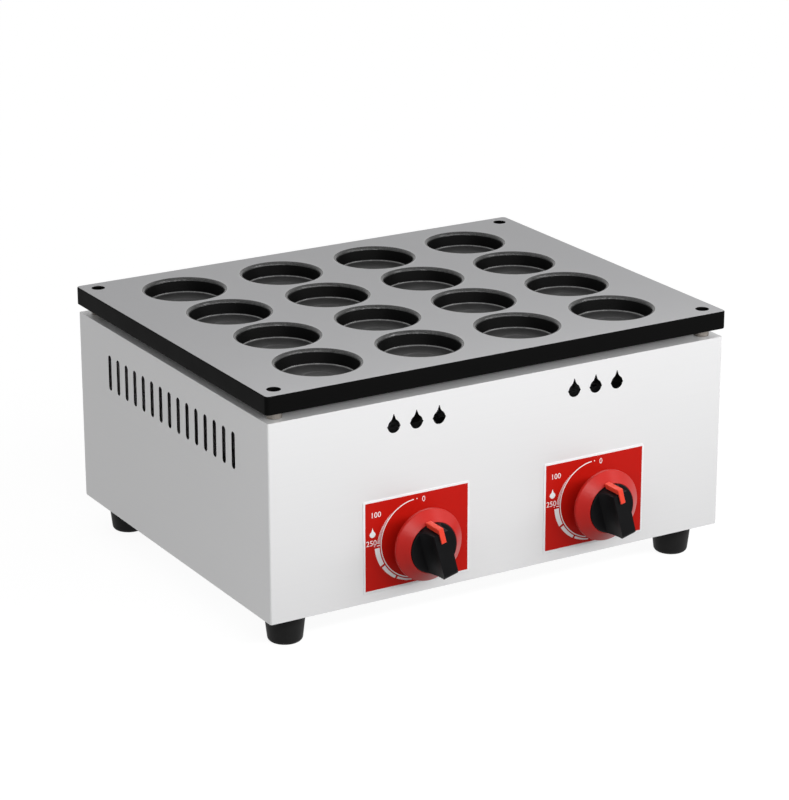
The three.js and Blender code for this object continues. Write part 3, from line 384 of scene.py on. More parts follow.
class FinishColours(bpy.types.PropertyGroup):
    """Colours of the finishes, as linear values"""

    steel: colour("Satin sheet of the housing", 0.74, 0.74, 0.745)
    zinc: colour("Zinc-coated sheet and pipe", 0.46, 0.47, 0.48)
    plate: colour("Satin top of the mould plate", 0.5, 0.5, 0.51)
    coat: colour("Black coating of the cups", 0.0035, 0.0035, 0.0035)
    # This tone is lighter than the coating of the walls: on the floors it is painted sheen, on the fillets a
    # painted highlight, and on the lips painted sheen with specks that are partly rubbed and partly painted glints
    wear_and_sheen: colour("Rubbed coating on lips and floors of the cups", 0.055, 0.055, 0.055)
    bare: colour("Bare metal round the lips", 0.5, 0.5, 0.5)
    dull: colour("Plain spacers", 0.22, 0.2, 0.18)
    bright: colour("Turned spacers and screws", 0.78, 0.78, 0.79)
    dark: colour("Blackened bolts", 0.02, 0.02, 0.021)
    rubber: colour("Feet", 0.006, 0.006, 0.006)
    red: colour("Field of the dial plates", 0.5, 0.007, 0.003)
    white: colour("Marks and border of the dial plates", 0.86, 0.86, 0.87)
    grip: colour("Black moulding of the knobs", 0.004, 0.004, 0.0045)
    skirt: colour("Red moulding of the knobs", 0.5, 0.013, 0.009)
    pointer: colour("Bright red pointers", 0.85, 0.06, 0.03)
    brass: colour("Valves and fittings", 0.58, 0.40, 0.16)
    iron: colour("Cast burners", 0.035, 0.033, 0.031)
    ceramic: colour("Electrodes", 0.75, 0.71, 0.62)
    lead: colour("Sleeves of the ignition leads", 0.30, 0.05, 0.03)


class StudioSettings(bpy.types.PropertyGroup):
    """The camera and the light"""

    camera_place: place("Where the camera stands", -1.3769, -2.3175, 1.0687)
    azimuth: angle("How far the camera stands round to the left", 30.562)
    elevation: angle("How far the camera looks down", 18.930)
    roll: angle("How far the camera leans", -0.119)
    lens: amount("Focal length of the camera in millimetres", 135.36)
    sky: amount("Light from all round", 0.42)
    sun: amount("Strength of the main lamp", 0.7)
    sun_height: angle("Height of the main lamp over the floor", 27)
    sun_turn: angle("How far the main lamp stands round to the right", 48)
    sun_spread: angle("Softness of the main lamp", 25)
    strip: amount("Power of the strip lamp in watts", 4.5)
    strip_place: place("Where the strip lamp hangs", 0.2, -0.62, 0.4)
    strip_width: size("Length of the strip lamp", 1800)
    strip_height: size("Height of the strip lamp", 80)
    floor: amount("Paleness of the floor", 0.15)
    floor_reach: size("Half the floor's side", 30000)


GROUPS = {
    "maker_sheet": SheetSizes,
    "maker_plate": PlateSizes,
    "maker_dial": DialSizes,
    "maker_knob": KnobSizes,
    "maker_spring": SpringSizes,
    "maker_gas": GasSizes,
    "maker_fastener": FastenerSizes,
    "maker_colours": FinishColours,
    "maker_studio": StudioSettings,
}


# Node trees


class Value:
    """A socket in a node tree. Arithmetic on values adds Math nodes."""

    def __init__(self, graph, socket):
        self.graph = graph
        self.socket = socket

    def output(self, key):
        """Another output of the same node."""
        return Value(self.graph, self.socket.node.outputs[key])

    def math(self, operation, *terms):
        sockets = dict(enumerate(terms))
        return self.graph.node("ShaderNodeMath", {"operation": operation}, sockets)

    def __add__(self, other):
        return self.math("ADD", self, other)

    def __sub__(self, other):
        return self.math("SUBTRACT", self, other)

    def __mul__(self, other):
        return self.math("MULTIPLY", self, other)

    def __truediv__(self, other):
        return self.math("DIVIDE", self, other)

    __radd__ = __add__
    __rmul__ = __mul__

    def __rsub__(self, other):
        return self.math("SUBTRACT", other, self)

    def within(self, low, high):
        """0 at low and 1 at high, with no more beyond."""
        sockets = {"Value": self, "From Min": low, "From Max": high}
        return self.graph.node("ShaderNodeMapRange", {"clamp": True}, sockets)


class Graph:
    """A node tree that is being built."""

    def __init__(self, tree):
        self.tree = tree
        tree.nodes.clear()

    def node(self, kind, settings=None, sockets=None):
        """Adds a node: its settings come first, then the values or links of its sockets."""
        made = self.tree.nodes.new(kind)
        for name, value in (settings or {}).items():
            setattr(made, name, value)
        for key, value in (sockets or {}).items():
            if isinstance(value, Value):
                self.tree.links.new(value.socket, made.inputs[key])
            else:
                made.inputs[key].default_value = value
        return Value(self, made.outputs[0]) if made.outputs else None


class FinishGraph(Graph):
    """A material's node tree."""

    def place(self, across=1.0, along=1.0, up=1.0):
        """Object coordinates, stretched along each axis."""
        where = self.node("ShaderNodeTexCoord").output("Object")
        stretch = {0: where, 1: (across, along, up)}
        return self.node("ShaderNodeVectorMath", {"operation": "MULTIPLY"}, stretch)

    def noise(self, place, scale, detail=2.0, roughness=0.5):
        sockets = {"Vector": place, "Scale": scale, "Detail": detail, "Roughness": roughness}
        return self.node("ShaderNodeTexNoise", {}, sockets)

    def mixed(self, factor, first, second):
        """A colour between two."""
        ends = [end if isinstance(end, Value) else (*end, 1.0) for end in (first, second)]
        mix = self.node("ShaderNodeMix", {"data_type": "RGBA"}, {0: factor, 6: ends[0], 7: ends[1]})
        return mix.output(2)

    def bump(self, height, distance, strength=1.0):
        sockets = {"Height": height, "Distance": distance, "Strength": strength}
        return self.node("ShaderNodeBump", {}, sockets)

    def surface(self, sockets):
        """Ends the tree in a principled surface."""
        shader = self.node("ShaderNodeBsdfPrincipled", {}, sockets)
        self.node("ShaderNodeOutputMaterial", {}, {"Surface": shader})


def shade(tone, factor):
    """A colour made lighter or darker."""
    return tuple(min(1.0, part * factor) for part in tone)


def layered(tone, shades, cloud, rough, grain=None, bump=(0.02, 0.5), metal=0.0, gloss=0.5, **fine):
    """A finish whose tone drifts between two shades over a fine grain.

    cloud and grain hold a noise's scale, detail and roughness. rough holds the surface's roughness,
    then what the cloud and the grain add to it. bump holds the depth of the relief in millimetres
    and its strength. The finest layer makes the relief. stretch draws the grain out along each axis,
    and by_grain lets the grain lead the tone instead of the cloud.
    """

    def build(graph, colours):
        base = getattr(colours, tone)
        soft = graph.noise(graph.place(), *cloud)
        small = graph.noise(graph.place(*fine.get("stretch", ())), *grain) if grain else soft
        lead = small if fine.get("by_grain") else soft
        roughness = rough[0] + rough[1] * soft
        return {
            "Base Color": graph.mixed(lead, shade(base, shades[0]), shade(base, shades[1])),
            "Metallic": metal,
            "Roughness": roughness + rough[2] * small if len(rough) > 2 else roughness,
            "Normal": graph.bump(small, bump[0] * MM, bump[1]),
            "Specular IOR Level": gloss,
        }

    return build


def zinc_finish(graph, colours):
    """Zinc coating with its crystal pattern."""
    crystal = graph.node("ShaderNodeTexVoronoi", {}, {"Vector": graph.place(), "Scale": 130.0})
    grain = graph.node("ShaderNodeSeparateColor", {}, {0: crystal.output("Color")})
    cloud = graph.noise(graph.place(), 25.0, 3.0)
    return {
        "Base Color": graph.mixed(grain, shade(colours.zinc, 0.82), shade(colours.zinc, 1.12)),
        "Metallic": 0.75,
        "Roughness": 0.38 + 0.12 * grain + 0.1 * cloud,
        "Normal": graph.bump(cloud, 0.03 * MM, 0.4),
    }


def lip_wear_and_glint_finish(graph, colours):
    """The coating on the rounded lips over the cast grain, painted lighter than the walls as painted sheen, with
    specks that are partly rubbed metal and partly painted glints.
    """
    grain = graph.noise(graph.place(), 420.0, 4.0, 0.6)
    wear_and_glint = graph.noise(graph.place(), 900.0, 3.0, 0.7).within(0.42, 0.66)
    return {
        # Painted glints: the specks are many times lighter than the rest of the lip, as well as more metallic and
        # smoother
        "Base Color": graph.mixed(wear_and_glint, shade(colours.wear_and_sheen, 0.2), shade(colours.wear_and_sheen, 2.4)),
        "Metallic": 0.6 * wear_and_glint,
        "Roughness": 0.3 - 0.12 * wear_and_glint,
        "Normal": graph.bump(grain, 0.2 * MM, 1.0),
        "Specular IOR Level": 0.3,
    }


# Turned and brushed metal has its grain stretched into lines: level ones on sheet, rings on turned steel
BRUSHED = {"stretch": (14, 14, 2400), "by_grain": True}
RINGED = {"stretch": (60, 60, 3200), "by_grain": True}
SPUN = {"stretch": (500, 2800, 500)}
PRINT = ((0.95, 1.04), (160.0, 2.0), (0.42, 0.06), (2600.0, 2.0), (0.004, 0.4), 0.0, 0.15)
GLOSS = ((0.96, 1.03), (150.0, 2.0), (0.27, 0.05), None, (0.01, 0.4), 0.0, 0.22)
FINISHES = {
    "stainless_sheet": layered(
        "steel", (0.975, 1.02), (7.0, 2.0), (0.36, 0.05, 0.07), (1.0, 3.0, 0.6), (0.004, 0.5), 0.32, **BRUSHED
    ),
    "galvanised_sheet": zinc_finish,
    "cast_plate": layered(
        "plate", (0.97, 1.04), (22.0, 3.0, 0.55), (0.46, 0.08, 0.05), (1500.0, 3.0, 0.6), (0.006, 0.6),
        gloss=0.22,
    ),
    "cup_coat": layered(
        "coat", (0.5, 1.0), (60.0, 2.0), (0.42, 0.12), (620.0, 4.0, 0.62), (0.05, 0.5), 0.0, 0.06
    ),
    "cup_lip": lip_wear_and_glint_finish,
    # The cup floors are the same coating as the walls, painted lighter as painted sheen where they face up
    "cup_floor": layered(
        "wear_and_sheen", (0.5, 1.3), (48.0, 3.0, 0.55), (0.34, 0.1), (800.0, 3.0, 0.6), (0.03, 0.6), 0.2
    ),
    # A painted highlight: the fillet between a cup's wall and floor is painted up to five times lighter than the
    # floor, not bare metal
    "bare_fillet": layered("wear_and_sheen", (0.8, 5.0), (140.0, 3.0, 0.6), (0.22, 0.1), None, (0.03, 0.5), 0.5),
    "bare_edge": layered("bare", (0.75, 1.1), (260.0, 3.0, 0.6), (0.32, 0.1), None, (0.03, 0.5), 0.4),
    "plate_edge": layered(
        "coat", (0.55, 0.8), (40.0, 2.0), (0.5, 0.1), (500.0, 3.0, 0.6), (0.05, 0.5), 0.0, 0.03
    ),
    "bright_steel": layered(
        "bright", (0.9, 1.03), (90.0, 2.0), (0.14, 0.06, 0.08), (1.0, 2.0), (0.006, 0.5), 1.0, **RINGED
    ),
    "dull_steel": layered("dull", (0.8, 1.2), (200.0, 3.0), (0.42, 0.12), None, (0.01, 0.5), 0.8),
    "black_steel": layered("dark", (0.7, 1.4), (320.0, 3.0), (0.38, 0.14), metal=0.5),
    # Painted shade: the cut faces inside the side vents and flame holes are painted near-black, in the colour of
    # the cups' coating
    "punched_edge": layered("coat", (0.6, 1.5), (320.0, 3.0), (0.55, 0.1), gloss=0.06),
    "rubber": layered(
        "rubber", (0.8, 1.6), (70.0, 2.0), (0.48, 0.14), (900.0, 3.0, 0.65), (0.04, 0.5), 0.0, 0.14
    ),
    "dial_print": layered("red", *PRINT),
    "dial_marks": layered("white", *PRINT),
    "black_plastic": layered(
        "grip", (0.85, 1.3), (120.0, 2.0), (0.34, 0.08), (2200.0, 2.0, 0.6), (0.012, 0.5), 0.0, 0.07
    ),
    "red_plastic": layered("skirt", *GLOSS),
    "pointer_plastic": layered("pointer", *GLOSS),
    "brass": layered(
        "brass", (0.72, 1.1), (60.0, 3.0), (0.24, 0.12, 0.1), (1.0, 2.0), (0.008, 0.5), 0.95, **SPUN
    ),
    "cast_iron": layered(
        "iron", (0.7, 1.5), (45.0, 3.0), (0.6, 0.2), (700.0, 5.0, 0.7), (0.18, 0.8), 0.35
    ),
    "ceramic": layered("ceramic", (0.92, 1.04), (220.0, 3.0), (0.14, 0.08), bump=(0.02, 0.4)),
    "lead_sleeve": layered("lead", (0.8, 1.2), (260.0, 3.0), (0.5, 0.1), bump=(0.03, 0.4)),
}


def finish(name):
    """The material of that name, made the first time that it is asked for."""
    label = f"{name}_finish"
    if label not in bpy.data.materials:
        material = bpy.data.materials.new(label)
        material.use_nodes = True
        graph = FinishGraph(material.node_tree)
        graph.surface(FINISHES[name](graph, bpy.context.scene.maker_colours))
    return bpy.data.materials[label]


class SizedTree(Graph):
    """A geometry node tree with named inputs. It ends in realized copies with their material set."""

    def __init__(self, name, inputs):
        super().__init__(bpy.data.node_groups.new(name, "GeometryNodeTree"))
        sockets = self.tree.interface
        sockets.new_socket("Geometry", in_out="INPUT", socket_type="NodeSocketGeometry")
        for label, kind in {**inputs, "Material": "Material"}.items():
            sockets.new_socket(label, in_out="INPUT", socket_type=f"NodeSocket{kind}")
        sockets.new_socket("Geometry", in_out="OUTPUT", socket_type="NodeSocketGeometry")
        self.given = self.node("NodeGroupInput")

    def item(self):
        """The mesh of the object that the tree copies."""
        info = self.node("GeometryNodeObjectInfo", {}, {"Object": self.given.output("Item")})
        return info.output("Geometry")

    def copies(self, points):
        """The item on each point."""
        sockets = {"Points": points, "Instance": self.item()}
        return self.node("GeometryNodeInstanceOnPoints", {}, sockets)

    def line(self, number, start, step):
        """Points in a straight row."""
        sockets = {"Count": number, "Start Location": start, "Offset": step}
        return self.node("GeometryNodeMeshLine", {"mode": "OFFSET"}, sockets)

    def swept(self, path, radius):
        """A round bar along a path, as the finished tree."""
        ring = {"Resolution": self.given.output("Sides"), "Radius": radius}
        profile = self.node("GeometryNodeCurvePrimitiveCircle", {}, ring)
        sockets = {"Curve": path, "Profile Curve": profile, "Fill Caps": True}
        return self.close(self.node("GeometryNodeCurveToMesh", {}, sockets))

    def joined(self, parts):
        join = self.tree.nodes.new("GeometryNodeJoinGeometry")
        for part in parts:
            self.tree.links.new(part.socket, join.inputs[0])
        return Value(self, join.outputs[0])

    def close(self, geometry):
        """Realizes the copies, sets the material and returns the finished tree."""
        real = self.node("GeometryNodeRealizeInstances", {}, {"Geometry": geometry})
        sockets = {"Geometry": real, "Material": self.given.output("Material")}
        dressed = self.node("GeometryNodeSetMaterial", {}, sockets)
        self.node("NodeGroupOutput", {}, {0: dressed})
        return self.tree


def row_tree():
    """Copies of an item in a straight row: slots, holes and ports."""
    inputs = {"Count": "Int", "Start": "Vector", "Step": "Vector"}
    graph = SizedTree("row", {"Item": "Object", **inputs})
    points = graph.line(*(graph.given.output(key) for key in inputs))
    return graph.close(graph.copies(points))


def places_tree():
    """Copies of an item on the points of the object: screws."""
    graph = SizedTree("places", {"Item": "Object"})
    return graph.close(graph.copies(graph.given))


def cup_tree(rows):
    """Rows of cups, each row with its own shift."""
    shifts = {f"Shift {row + 1}": "Float" for row in range(rows)}
    sizes = {"Columns": "Int", "Pitch X": "Float", "Pitch Y": "Float", **shifts}
    graph = SizedTree("cup rows", {"Item": "Object", **sizes})
    columns, pitch_x, pitch_y = (graph.given.output(key) for key in ("Columns", "Pitch X", "Pitch Y"))
    lines = []
    for row, label in enumerate(shifts):
        x = graph.given.output(label) - pitch_x * (columns - 1) / 2
        y = pitch_y * (row - (rows - 1) / 2)
        start = graph.node("ShaderNodeCombineXYZ", {}, {0: x, 1: y})
        step = graph.node("ShaderNodeCombineXYZ", {}, {0: pitch_x})
        lines.append(graph.line(columns, start, step))
    return graph.close(graph.copies(graph.joined(lines)))


def coil_tree():
    """A wound wire along Z."""
    sizes = {"Turns": "Float", "Radius": "Float", "Length": "Float", "Wire": "Float"}
    graph = SizedTree("coil", {**sizes, "Steps": "Int", "Sides": "Int"})
    turns, radius, length, wire = (graph.given.output(key) for key in sizes)
    spiral = {"Resolution": graph.given.output("Steps"), "Rotations": turns}
    spiral.update({"Start Radius": radius, "End Radius": radius, "Height": length})
    return graph.swept(graph.node("GeometryNodeCurveSpiral", {}, spiral), wire)


def sleeve_tree():
    """A round sleeve along the object's line of edges."""
    graph = SizedTree("sleeve", {"Radius": "Float", "Sides": "Int"})
    path = graph.node("GeometryNodeMeshToCurve", {}, {"Mesh": graph.given})
    return graph.swept(path, graph.given.output("Radius"))


# Meshes


def plain_mesh(points, faces=(), edges=()):
    mesh = bpy.data.meshes.new("mesh")
    mesh.from_pydata([tuple(point) for point in points], list(edges), list(faces))
    return mesh


def placed(name, data):
    """A new object in the scene."""
    obj = bpy.data.objects.new(name, data)
    bpy.context.scene.collection.objects.link(obj)
    return obj


def scratch(mesh):
    """A passing object that holds a mesh while modifiers work on it."""
    return placed("scratch", mesh)


def worked_out(obj, *helpers):
    """The object's mesh with its modifiers worked in. The object and its helpers are removed."""
    bpy.context.view_layer.update()
    graph = bpy.context.evaluated_depsgraph_get()
    mesh = bpy.data.meshes.new_from_object(obj.evaluated_get(graph), depsgraph=graph)
    for passing in (obj, *helpers):
        bpy.data.objects.remove(passing)
    return mesh


def run_tree(tree, values, mesh=None, item=None):
    """The plain mesh that a geometry node tree makes with these values for its named inputs."""
    obj = scratch(mesh or plain_mesh([(0, 0, 0)]))
    helpers = []
    if item is not None:
        helpers.append(scratch(item))
        values = {**values, "Item": helpers[0]}
    modifier = obj.modifiers.new("tree", "NODES")
    modifier.node_group = tree
    for socket in tree.interface.items_tree:
        if socket.in_out == "INPUT" and socket.name in values:
            modifier[socket.identifier] = values[socket.name]
    return worked_out(obj, *helpers)


def in_row(item, number, start, step):
    """A row of copies of a mesh."""
    tree = bpy.data.node_groups.get("row") or row_tree()
    return run_tree(tree, {"Count": number, "Start": tuple(start), "Step": tuple(step)}, item=item)


def cleaned(mesh):
    """Merges doubles and turns the faces of a closed mesh outwards."""
    work = bmesh.new()
    work.from_mesh(mesh)
    bmesh.ops.remove_doubles(work, verts=work.verts, dist=MERGE)
    bmesh.ops.dissolve_degenerate(work, edges=work.edges, dist=MERGE)
    bmesh.ops.recalc_face_normals(work, faces=work.faces)
    work.to_mesh(mesh)
    work.free()
    return mesh


def gathered(meshes):
    """Several meshes as one, with their materials kept."""
    work = bmesh.new()
    whole = bpy.data.meshes.new("mesh")
    materials = []
    for mesh in meshes:
        first = len(work.faces)
        work.from_mesh(mesh)
        work.faces.ensure_lookup_table()
        for face in work.faces[first:]:
            material = mesh.materials[face.material_index] if mesh.materials else None
            if material not in materials:
                materials.append(material)
            face.material_index = materials.index(material)
    work.to_mesh(whole)
    work.free()
    for material in filter(None, materials):
        whole.materials.append(material)
    return whole


def painted(mesh, name):
    """Gives every face of a mesh one finish."""
    mesh.materials.clear()
    mesh.materials.append(finish(name))
    mesh.polygons.foreach_set("material_index", [0] * len(mesh.polygons))
    return mesh


def arc(centre, radius, start, end, steps=ARC_STEPS):
    """Points on an arc in a plane, ends included."""
    angles = [start + (end - start) * i / steps for i in range(steps + 1)]
    return [(centre[0] + radius * math.cos(a), centre[1] + radius * math.sin(a)) for a in angles]


def circle(centre, radius, sides=ROUND):
    return arc(centre, radius, 0, FULL_TURN * (sides - 1) / sides, sides - 1)


def rounded(corners, steps=ARC_STEPS):
    """A closed outline through corners (a, b, radius), each corner rounded by an arc."""
    outline = []
    for i, (a, b, radius) in enumerate(corners):
        here = Vector((a, b))
        if radius <= 0:
            outline.append((a, b))
            continue
        before = (Vector(corners[i - 1][:2]) - here).normalized()
        after = (Vector(corners[(i + 1) % len(corners)][:2]) - here).normalized()
        half = before.angle(after) / 2
        centre = here + (before + after).normalized() * (radius / math.sin(half))
        first = here + before * (radius / math.tan(half)) - centre
        last = here + after * (radius / math.tan(half)) - centre
        start = math.atan2(first.y, first.x)
        turn = math.remainder(math.atan2(last.y, last.x) - start, FULL_TURN)
        outline += arc(centre, radius, start, start + turn, steps)
    return outline


def oblong(a0, a1, b0, b1, near, far=None, steps=ARC_STEPS):
    """A rectangle whose near corners have one rounding and whose far corners have another."""
    far = near if far is None else far
    return rounded([(a0, b0, near), (a1, b0, near), (a1, b1, far), (a0, b1, far)], steps)


def on_plane(point, height, plane):
    """A point of an outline in space. The plane's letters name the axes of the outline."""
    place = {plane[0]: point[0], plane[1]: point[1]}
    return tuple(place.get(axis, height) for axis in "XYZ")


def lofted(rings, closed=False):
    """Quads between rings of points, as an open skin or, if closed, a ring round a ring."""
    sides = len(rings[0])
    points = [point for ring in rings for point in ring]
    faces = []
    for i in range(len(rings) if closed else len(rings) - 1):
        for j in range(sides):
            near, far = i * sides, (i + 1) % len(rings) * sides
            step = (j + 1) % sides
            faces.append((near + j, near + step, far + step, far + j))
    return plain_mesh(points, faces)


def prism(outline, start, end, plane="XY"):
    """A closed solid over an outline, between two heights."""
    sides = len(outline)
    points = [on_plane(p, height, plane) for height in (start, end) for p in outline]
    faces = [tuple(range(sides)), tuple(range(sides, 2 * sides))]
    faces += [(i, (i + 1) % sides, (i + 1) % sides + sides, i + sides) for i in range(sides)]
    return cleaned(plain_mesh(points, faces))


def slab(low, high, radius=0.0):
    """A block with its upright edges rounded."""
    return prism(oblong(low[0], high[0], low[1], high[1], radius), low[2], high[2])


def spun_rings(profile, centre, axis, sides):
    """Rings of a turned shape. Its profile holds (radius, place along the axis)."""
    plane = {"X": "YZ", "Y": "XZ", "Z": "XY"}[axis]
    return [
        [on_plane(p, along, plane) for p in circle(centre, radius, sides)] for radius, along in profile
    ]


def turned(profile, centre, axis="Z", sides=ROUND):
    """A closed turned solid. A profile that starts on the axis also ends there."""
    closed = profile[0][0] > MERGE
    return cleaned(lofted(spun_rings(profile, centre, axis, sides), closed))


def rod(axis, radius, start, end, centre, sides=ROUND_SMALL, edge=0.0):
    """A round bar along an axis, its ends rounded by an edge radius."""
    profile = rounded([(0, start, 0), (radius, start, edge), (radius, end, edge), (0, end, 0)], 3)
    return turned(profile, centre, axis, sides)


def tube(axis, radius, bore, start, end, centre, sides=ROUND, edge=0.0):
    """A pipe along an axis, with its edges rounded."""
    corners = [(bore, start, edge), (radius, start, edge), (radius, end, edge), (bore, end, edge)]
    return turned(rounded(corners, 3), centre, axis, sides)


def drills(axis, radius, start, end, nodes):
    """Round cutters along an axis, through the middles of CAD nodes."""
    across = "XYZ".replace(axis, "").lower()
    spots = [middle(node) for node in nodes]
    return [rod(axis, radius, start, end, [getattr(spot, key) for key in across]) for spot in spots]


def worked(mesh, tools, operation="DIFFERENCE"):
    """The mesh with the tools cut away, added or kept in common."""
    for tool in tools:
        obj, helper = scratch(mesh), scratch(tool)
        modifier = obj.modifiers.new("combine", "BOOLEAN")
        modifier.operation = operation
        modifier.solver = "EXACT"
        if mesh.materials:
            modifier.material_mode = "TRANSFER"
        modifier.object = helper
        mesh = worked_out(obj, helper)
    return mesh


def cut(mesh, *tools):
    return worked(mesh, tools)


def joined(mesh, *tools):
    return worked(mesh, tools, "UNION")


def common(mesh, *tools):
    return worked(mesh, tools, "INTERSECT")


def smoothed(mesh, edge=0.0, segments=2):
    """Rounds the sharp edges by that radius and shades the mesh smooth where it is round."""
    mesh.shade_smooth()
    obj = scratch(mesh)
    if edge > 0:
        bevel = obj.modifiers.new("edge", "BEVEL")
        bevel.width = edge
        bevel.segments = segments
        bevel.limit_method = "ANGLE"
        bevel.angle_limit = BEVEL_ANGLE
    else:
        mesh.set_sharp_from_angle(angle=SMOOTH_ANGLE)
    weighted = obj.modifiers.new("normals", "WEIGHTED_NORMAL")
    weighted.keep_sharp = True
    return worked_out(obj)


def piece(node, mesh, edge=0.0, segments=2, name=None):
    """Puts a finished mesh in the place of its CAD node, with the node's body, and with the finish of the node's
    slot where the mesh has none.
    """
    if not mesh.materials:
        painted(mesh, NODE_SLOT[node])
    obj = placed(f"{name or node}_fine", smoothed(mesh, edge, segments))
    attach(obj, NODE_BODY[node])
    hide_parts(node)
    return obj


def refined(node):
    """A copy of a CAD node's mesh with its loose triangles merged and its flat faces joined."""
    mesh = frame["nodes"][node].data.copy()
    mesh.materials.clear()
    work = bmesh.new()
    work.from_mesh(mesh)
    bmesh.ops.remove_doubles(work, verts=work.verts, dist=MERGE)
    bmesh.ops.dissolve_limit(work, angle_limit=FLAT_ANGLE, verts=work.verts, edges=work.edges)
    work.to_mesh(mesh)
    work.free()
    return mesh


# Pieces


def control_centre(side):
    """The axis of a knob, as (x, z)."""
    spot = middle(f"knob_skirt_{side}")
    return spot.x, spot.z


def flame_outline(x, z, radius, tip):
    """A round drop with a drawn-out tip and a small point on each side."""
    drop = tip - FLAME["neck"] * radius
    half = []
    for t in (0, 0.25, 0.5, 0.75, 1):
        half.append((radius * (FLAME["tip"] + FLAME["flare"] * t ** FLAME["bend"]), tip - drop * t))
    upper, lower = (arc((0, 0), radius, *map(math.radians, ends), steps) for *ends, steps in FLAME_ARCS)
    half += [*upper, (FLAME["point"] * radius, 0.0), *lower]
    mirrored = [(-px, pz) for px, pz in half[:-1]]
    return [(x + px, z + pz) for px, pz in half + mirrored[::-1]]


def vent_row(sizes, number, plane, through):
    """A row of upright slots as one cutting mesh, centred on the origin of its plane."""
    wide, top = sizes.vent_width, SHELL_HIGH.z - sizes.vent_drop
    slot = oblong(-wide / 2, wide / 2, top - sizes.vent_length, top, wide * NEARLY_HALF, steps=8)
    item = prism(slot, *through, plane)
    step = Vector((sizes.vent_pitch, 0, 0)) if plane == "XZ" else Vector((0, sizes.vent_pitch, 0))
    start = -step * (number - 1) / 2
    return in_row(item, number, start, step)


def moved(mesh, *offset):
    mesh.transform(Matrix.Translation(Vector(offset)))
    return mesh


class MAKER_OT_housing(bpy.types.Operator):
    """Builds the folded housing with its vents and flame holes"""

    bl_idname = "maker.housing"
    bl_label = "Housing"

    def execute(self, context):
        sizes = context.scene.maker_sheet
        t = sizes.thickness
        low, high = SHELL_LOW, SHELL_HIGH
        shell = prism(oblong(low.x, high.x, low.y, high.y, sizes.bend, 0), low.z, high.z)
        inner = oblong(low.x + t, high.x - t, low.y + t, high.y - t, sizes.bend - t, 0)
        top, bottom, rear = sizes.top_flange, sizes.bottom_flange, sizes.rear_flange
        shell = cut(
            painted(shell, "stainless_sheet"),
            prism(inner, low.z + t, high.z - t),
            slab(
                (low.x + top, FRONT + top, high.z - 2 * t),
                (high.x - top, REAR - top, high.z + OVERRUN),
                sizes.opening_corner,
            ),
            slab(
                (low.x + bottom, FRONT + bottom, low.z - OVERRUN),
                (high.x - bottom, REAR - bottom, low.z + 2 * t),
            ),
            slab(
                (low.x + rear, high.y - 2 * t, low.z + t),
                (high.x - rear, high.y + OVERRUN, high.z - rear),
            ),
        )
        vents = vent_row(sizes, sizes.vents, "YZ", (low.x - OVERRUN, high.x + OVERRUN))
        # The side vents' cut faces are painted near-black as painted shade
        shell = cut(shell, painted(moved(vents, 0, MID_DEPTH, 0), "punched_edge"))
        front = (FRONT - OVERRUN, FRONT + t + OVERRUN)
        for side in SIDES:
            x, z = control_centre(side)
            flame = flame_outline(0, high.z - sizes.flame_drop, sizes.flame_radius, sizes.flame_tip)
            step = Vector((sizes.flame_pitch, 0, 0))
            start = Vector((x, 0, 0)) - step * (sizes.flames - 1) / 2
            # The flame holes' cut faces are painted near-black as painted shade
            shell = cut(
                shell,
                painted(in_row(prism(flame, *front, "XZ"), sizes.flames, start, step), "punched_edge"),
                rod("Y", sizes.shaft_hole, *front, (x, z), ROUND),
            )
        bolt = context.scene.maker_plate.bolt_shank_hole
        screw = context.scene.maker_fastener.screw_shank + FIT_GAP
        shell = cut(
            shell,
            *drills("Z", bolt, high.z - 2 * t, high.z + OVERRUN, BOLTS),
            *drills("Y", screw, high.y - 2 * t, high.y + OVERRUN, REAR_SCREWS),
            *drills("Z", screw, low.z - OVERRUN, low.z + 2 * t, PAN_SCREWS),
        )
        piece("body_shell", shell, sizes.edge)
        return {"FINISHED"}


class MAKER_OT_rear_panel(bpy.types.Operator):
    """Builds the vented rear panel"""

    bl_idname = "maker.rear_panel"
    bl_label = "Rear panel"

    def execute(self, context):
        sizes = context.scene.maker_sheet
        low, high = REAR_LOW, REAR_HIGH
        through = (low.y - OVERRUN, high.y + OVERRUN)
        panel = prism(oblong(low.x, high.x, low.z, high.z, WIDE_EDGE), low.y, high.y, "XZ")
        inlet = middle("gas_inlet")
        neck = context.scene.maker_gas.inlet_neck + FIT_GAP
        screw = context.scene.maker_fastener.screw_shank + FIT_GAP
        panel = cut(
            panel,
            vent_row(sizes, sizes.rear_vents, "XZ", through),
            rod("Y", neck, *through, (inlet.x, inlet.z), ROUND),
            *drills("Y", screw, *through, REAR_SCREWS),
        )
        piece("rear_panel", panel, sizes.edge)
        return {"FINISHED"}


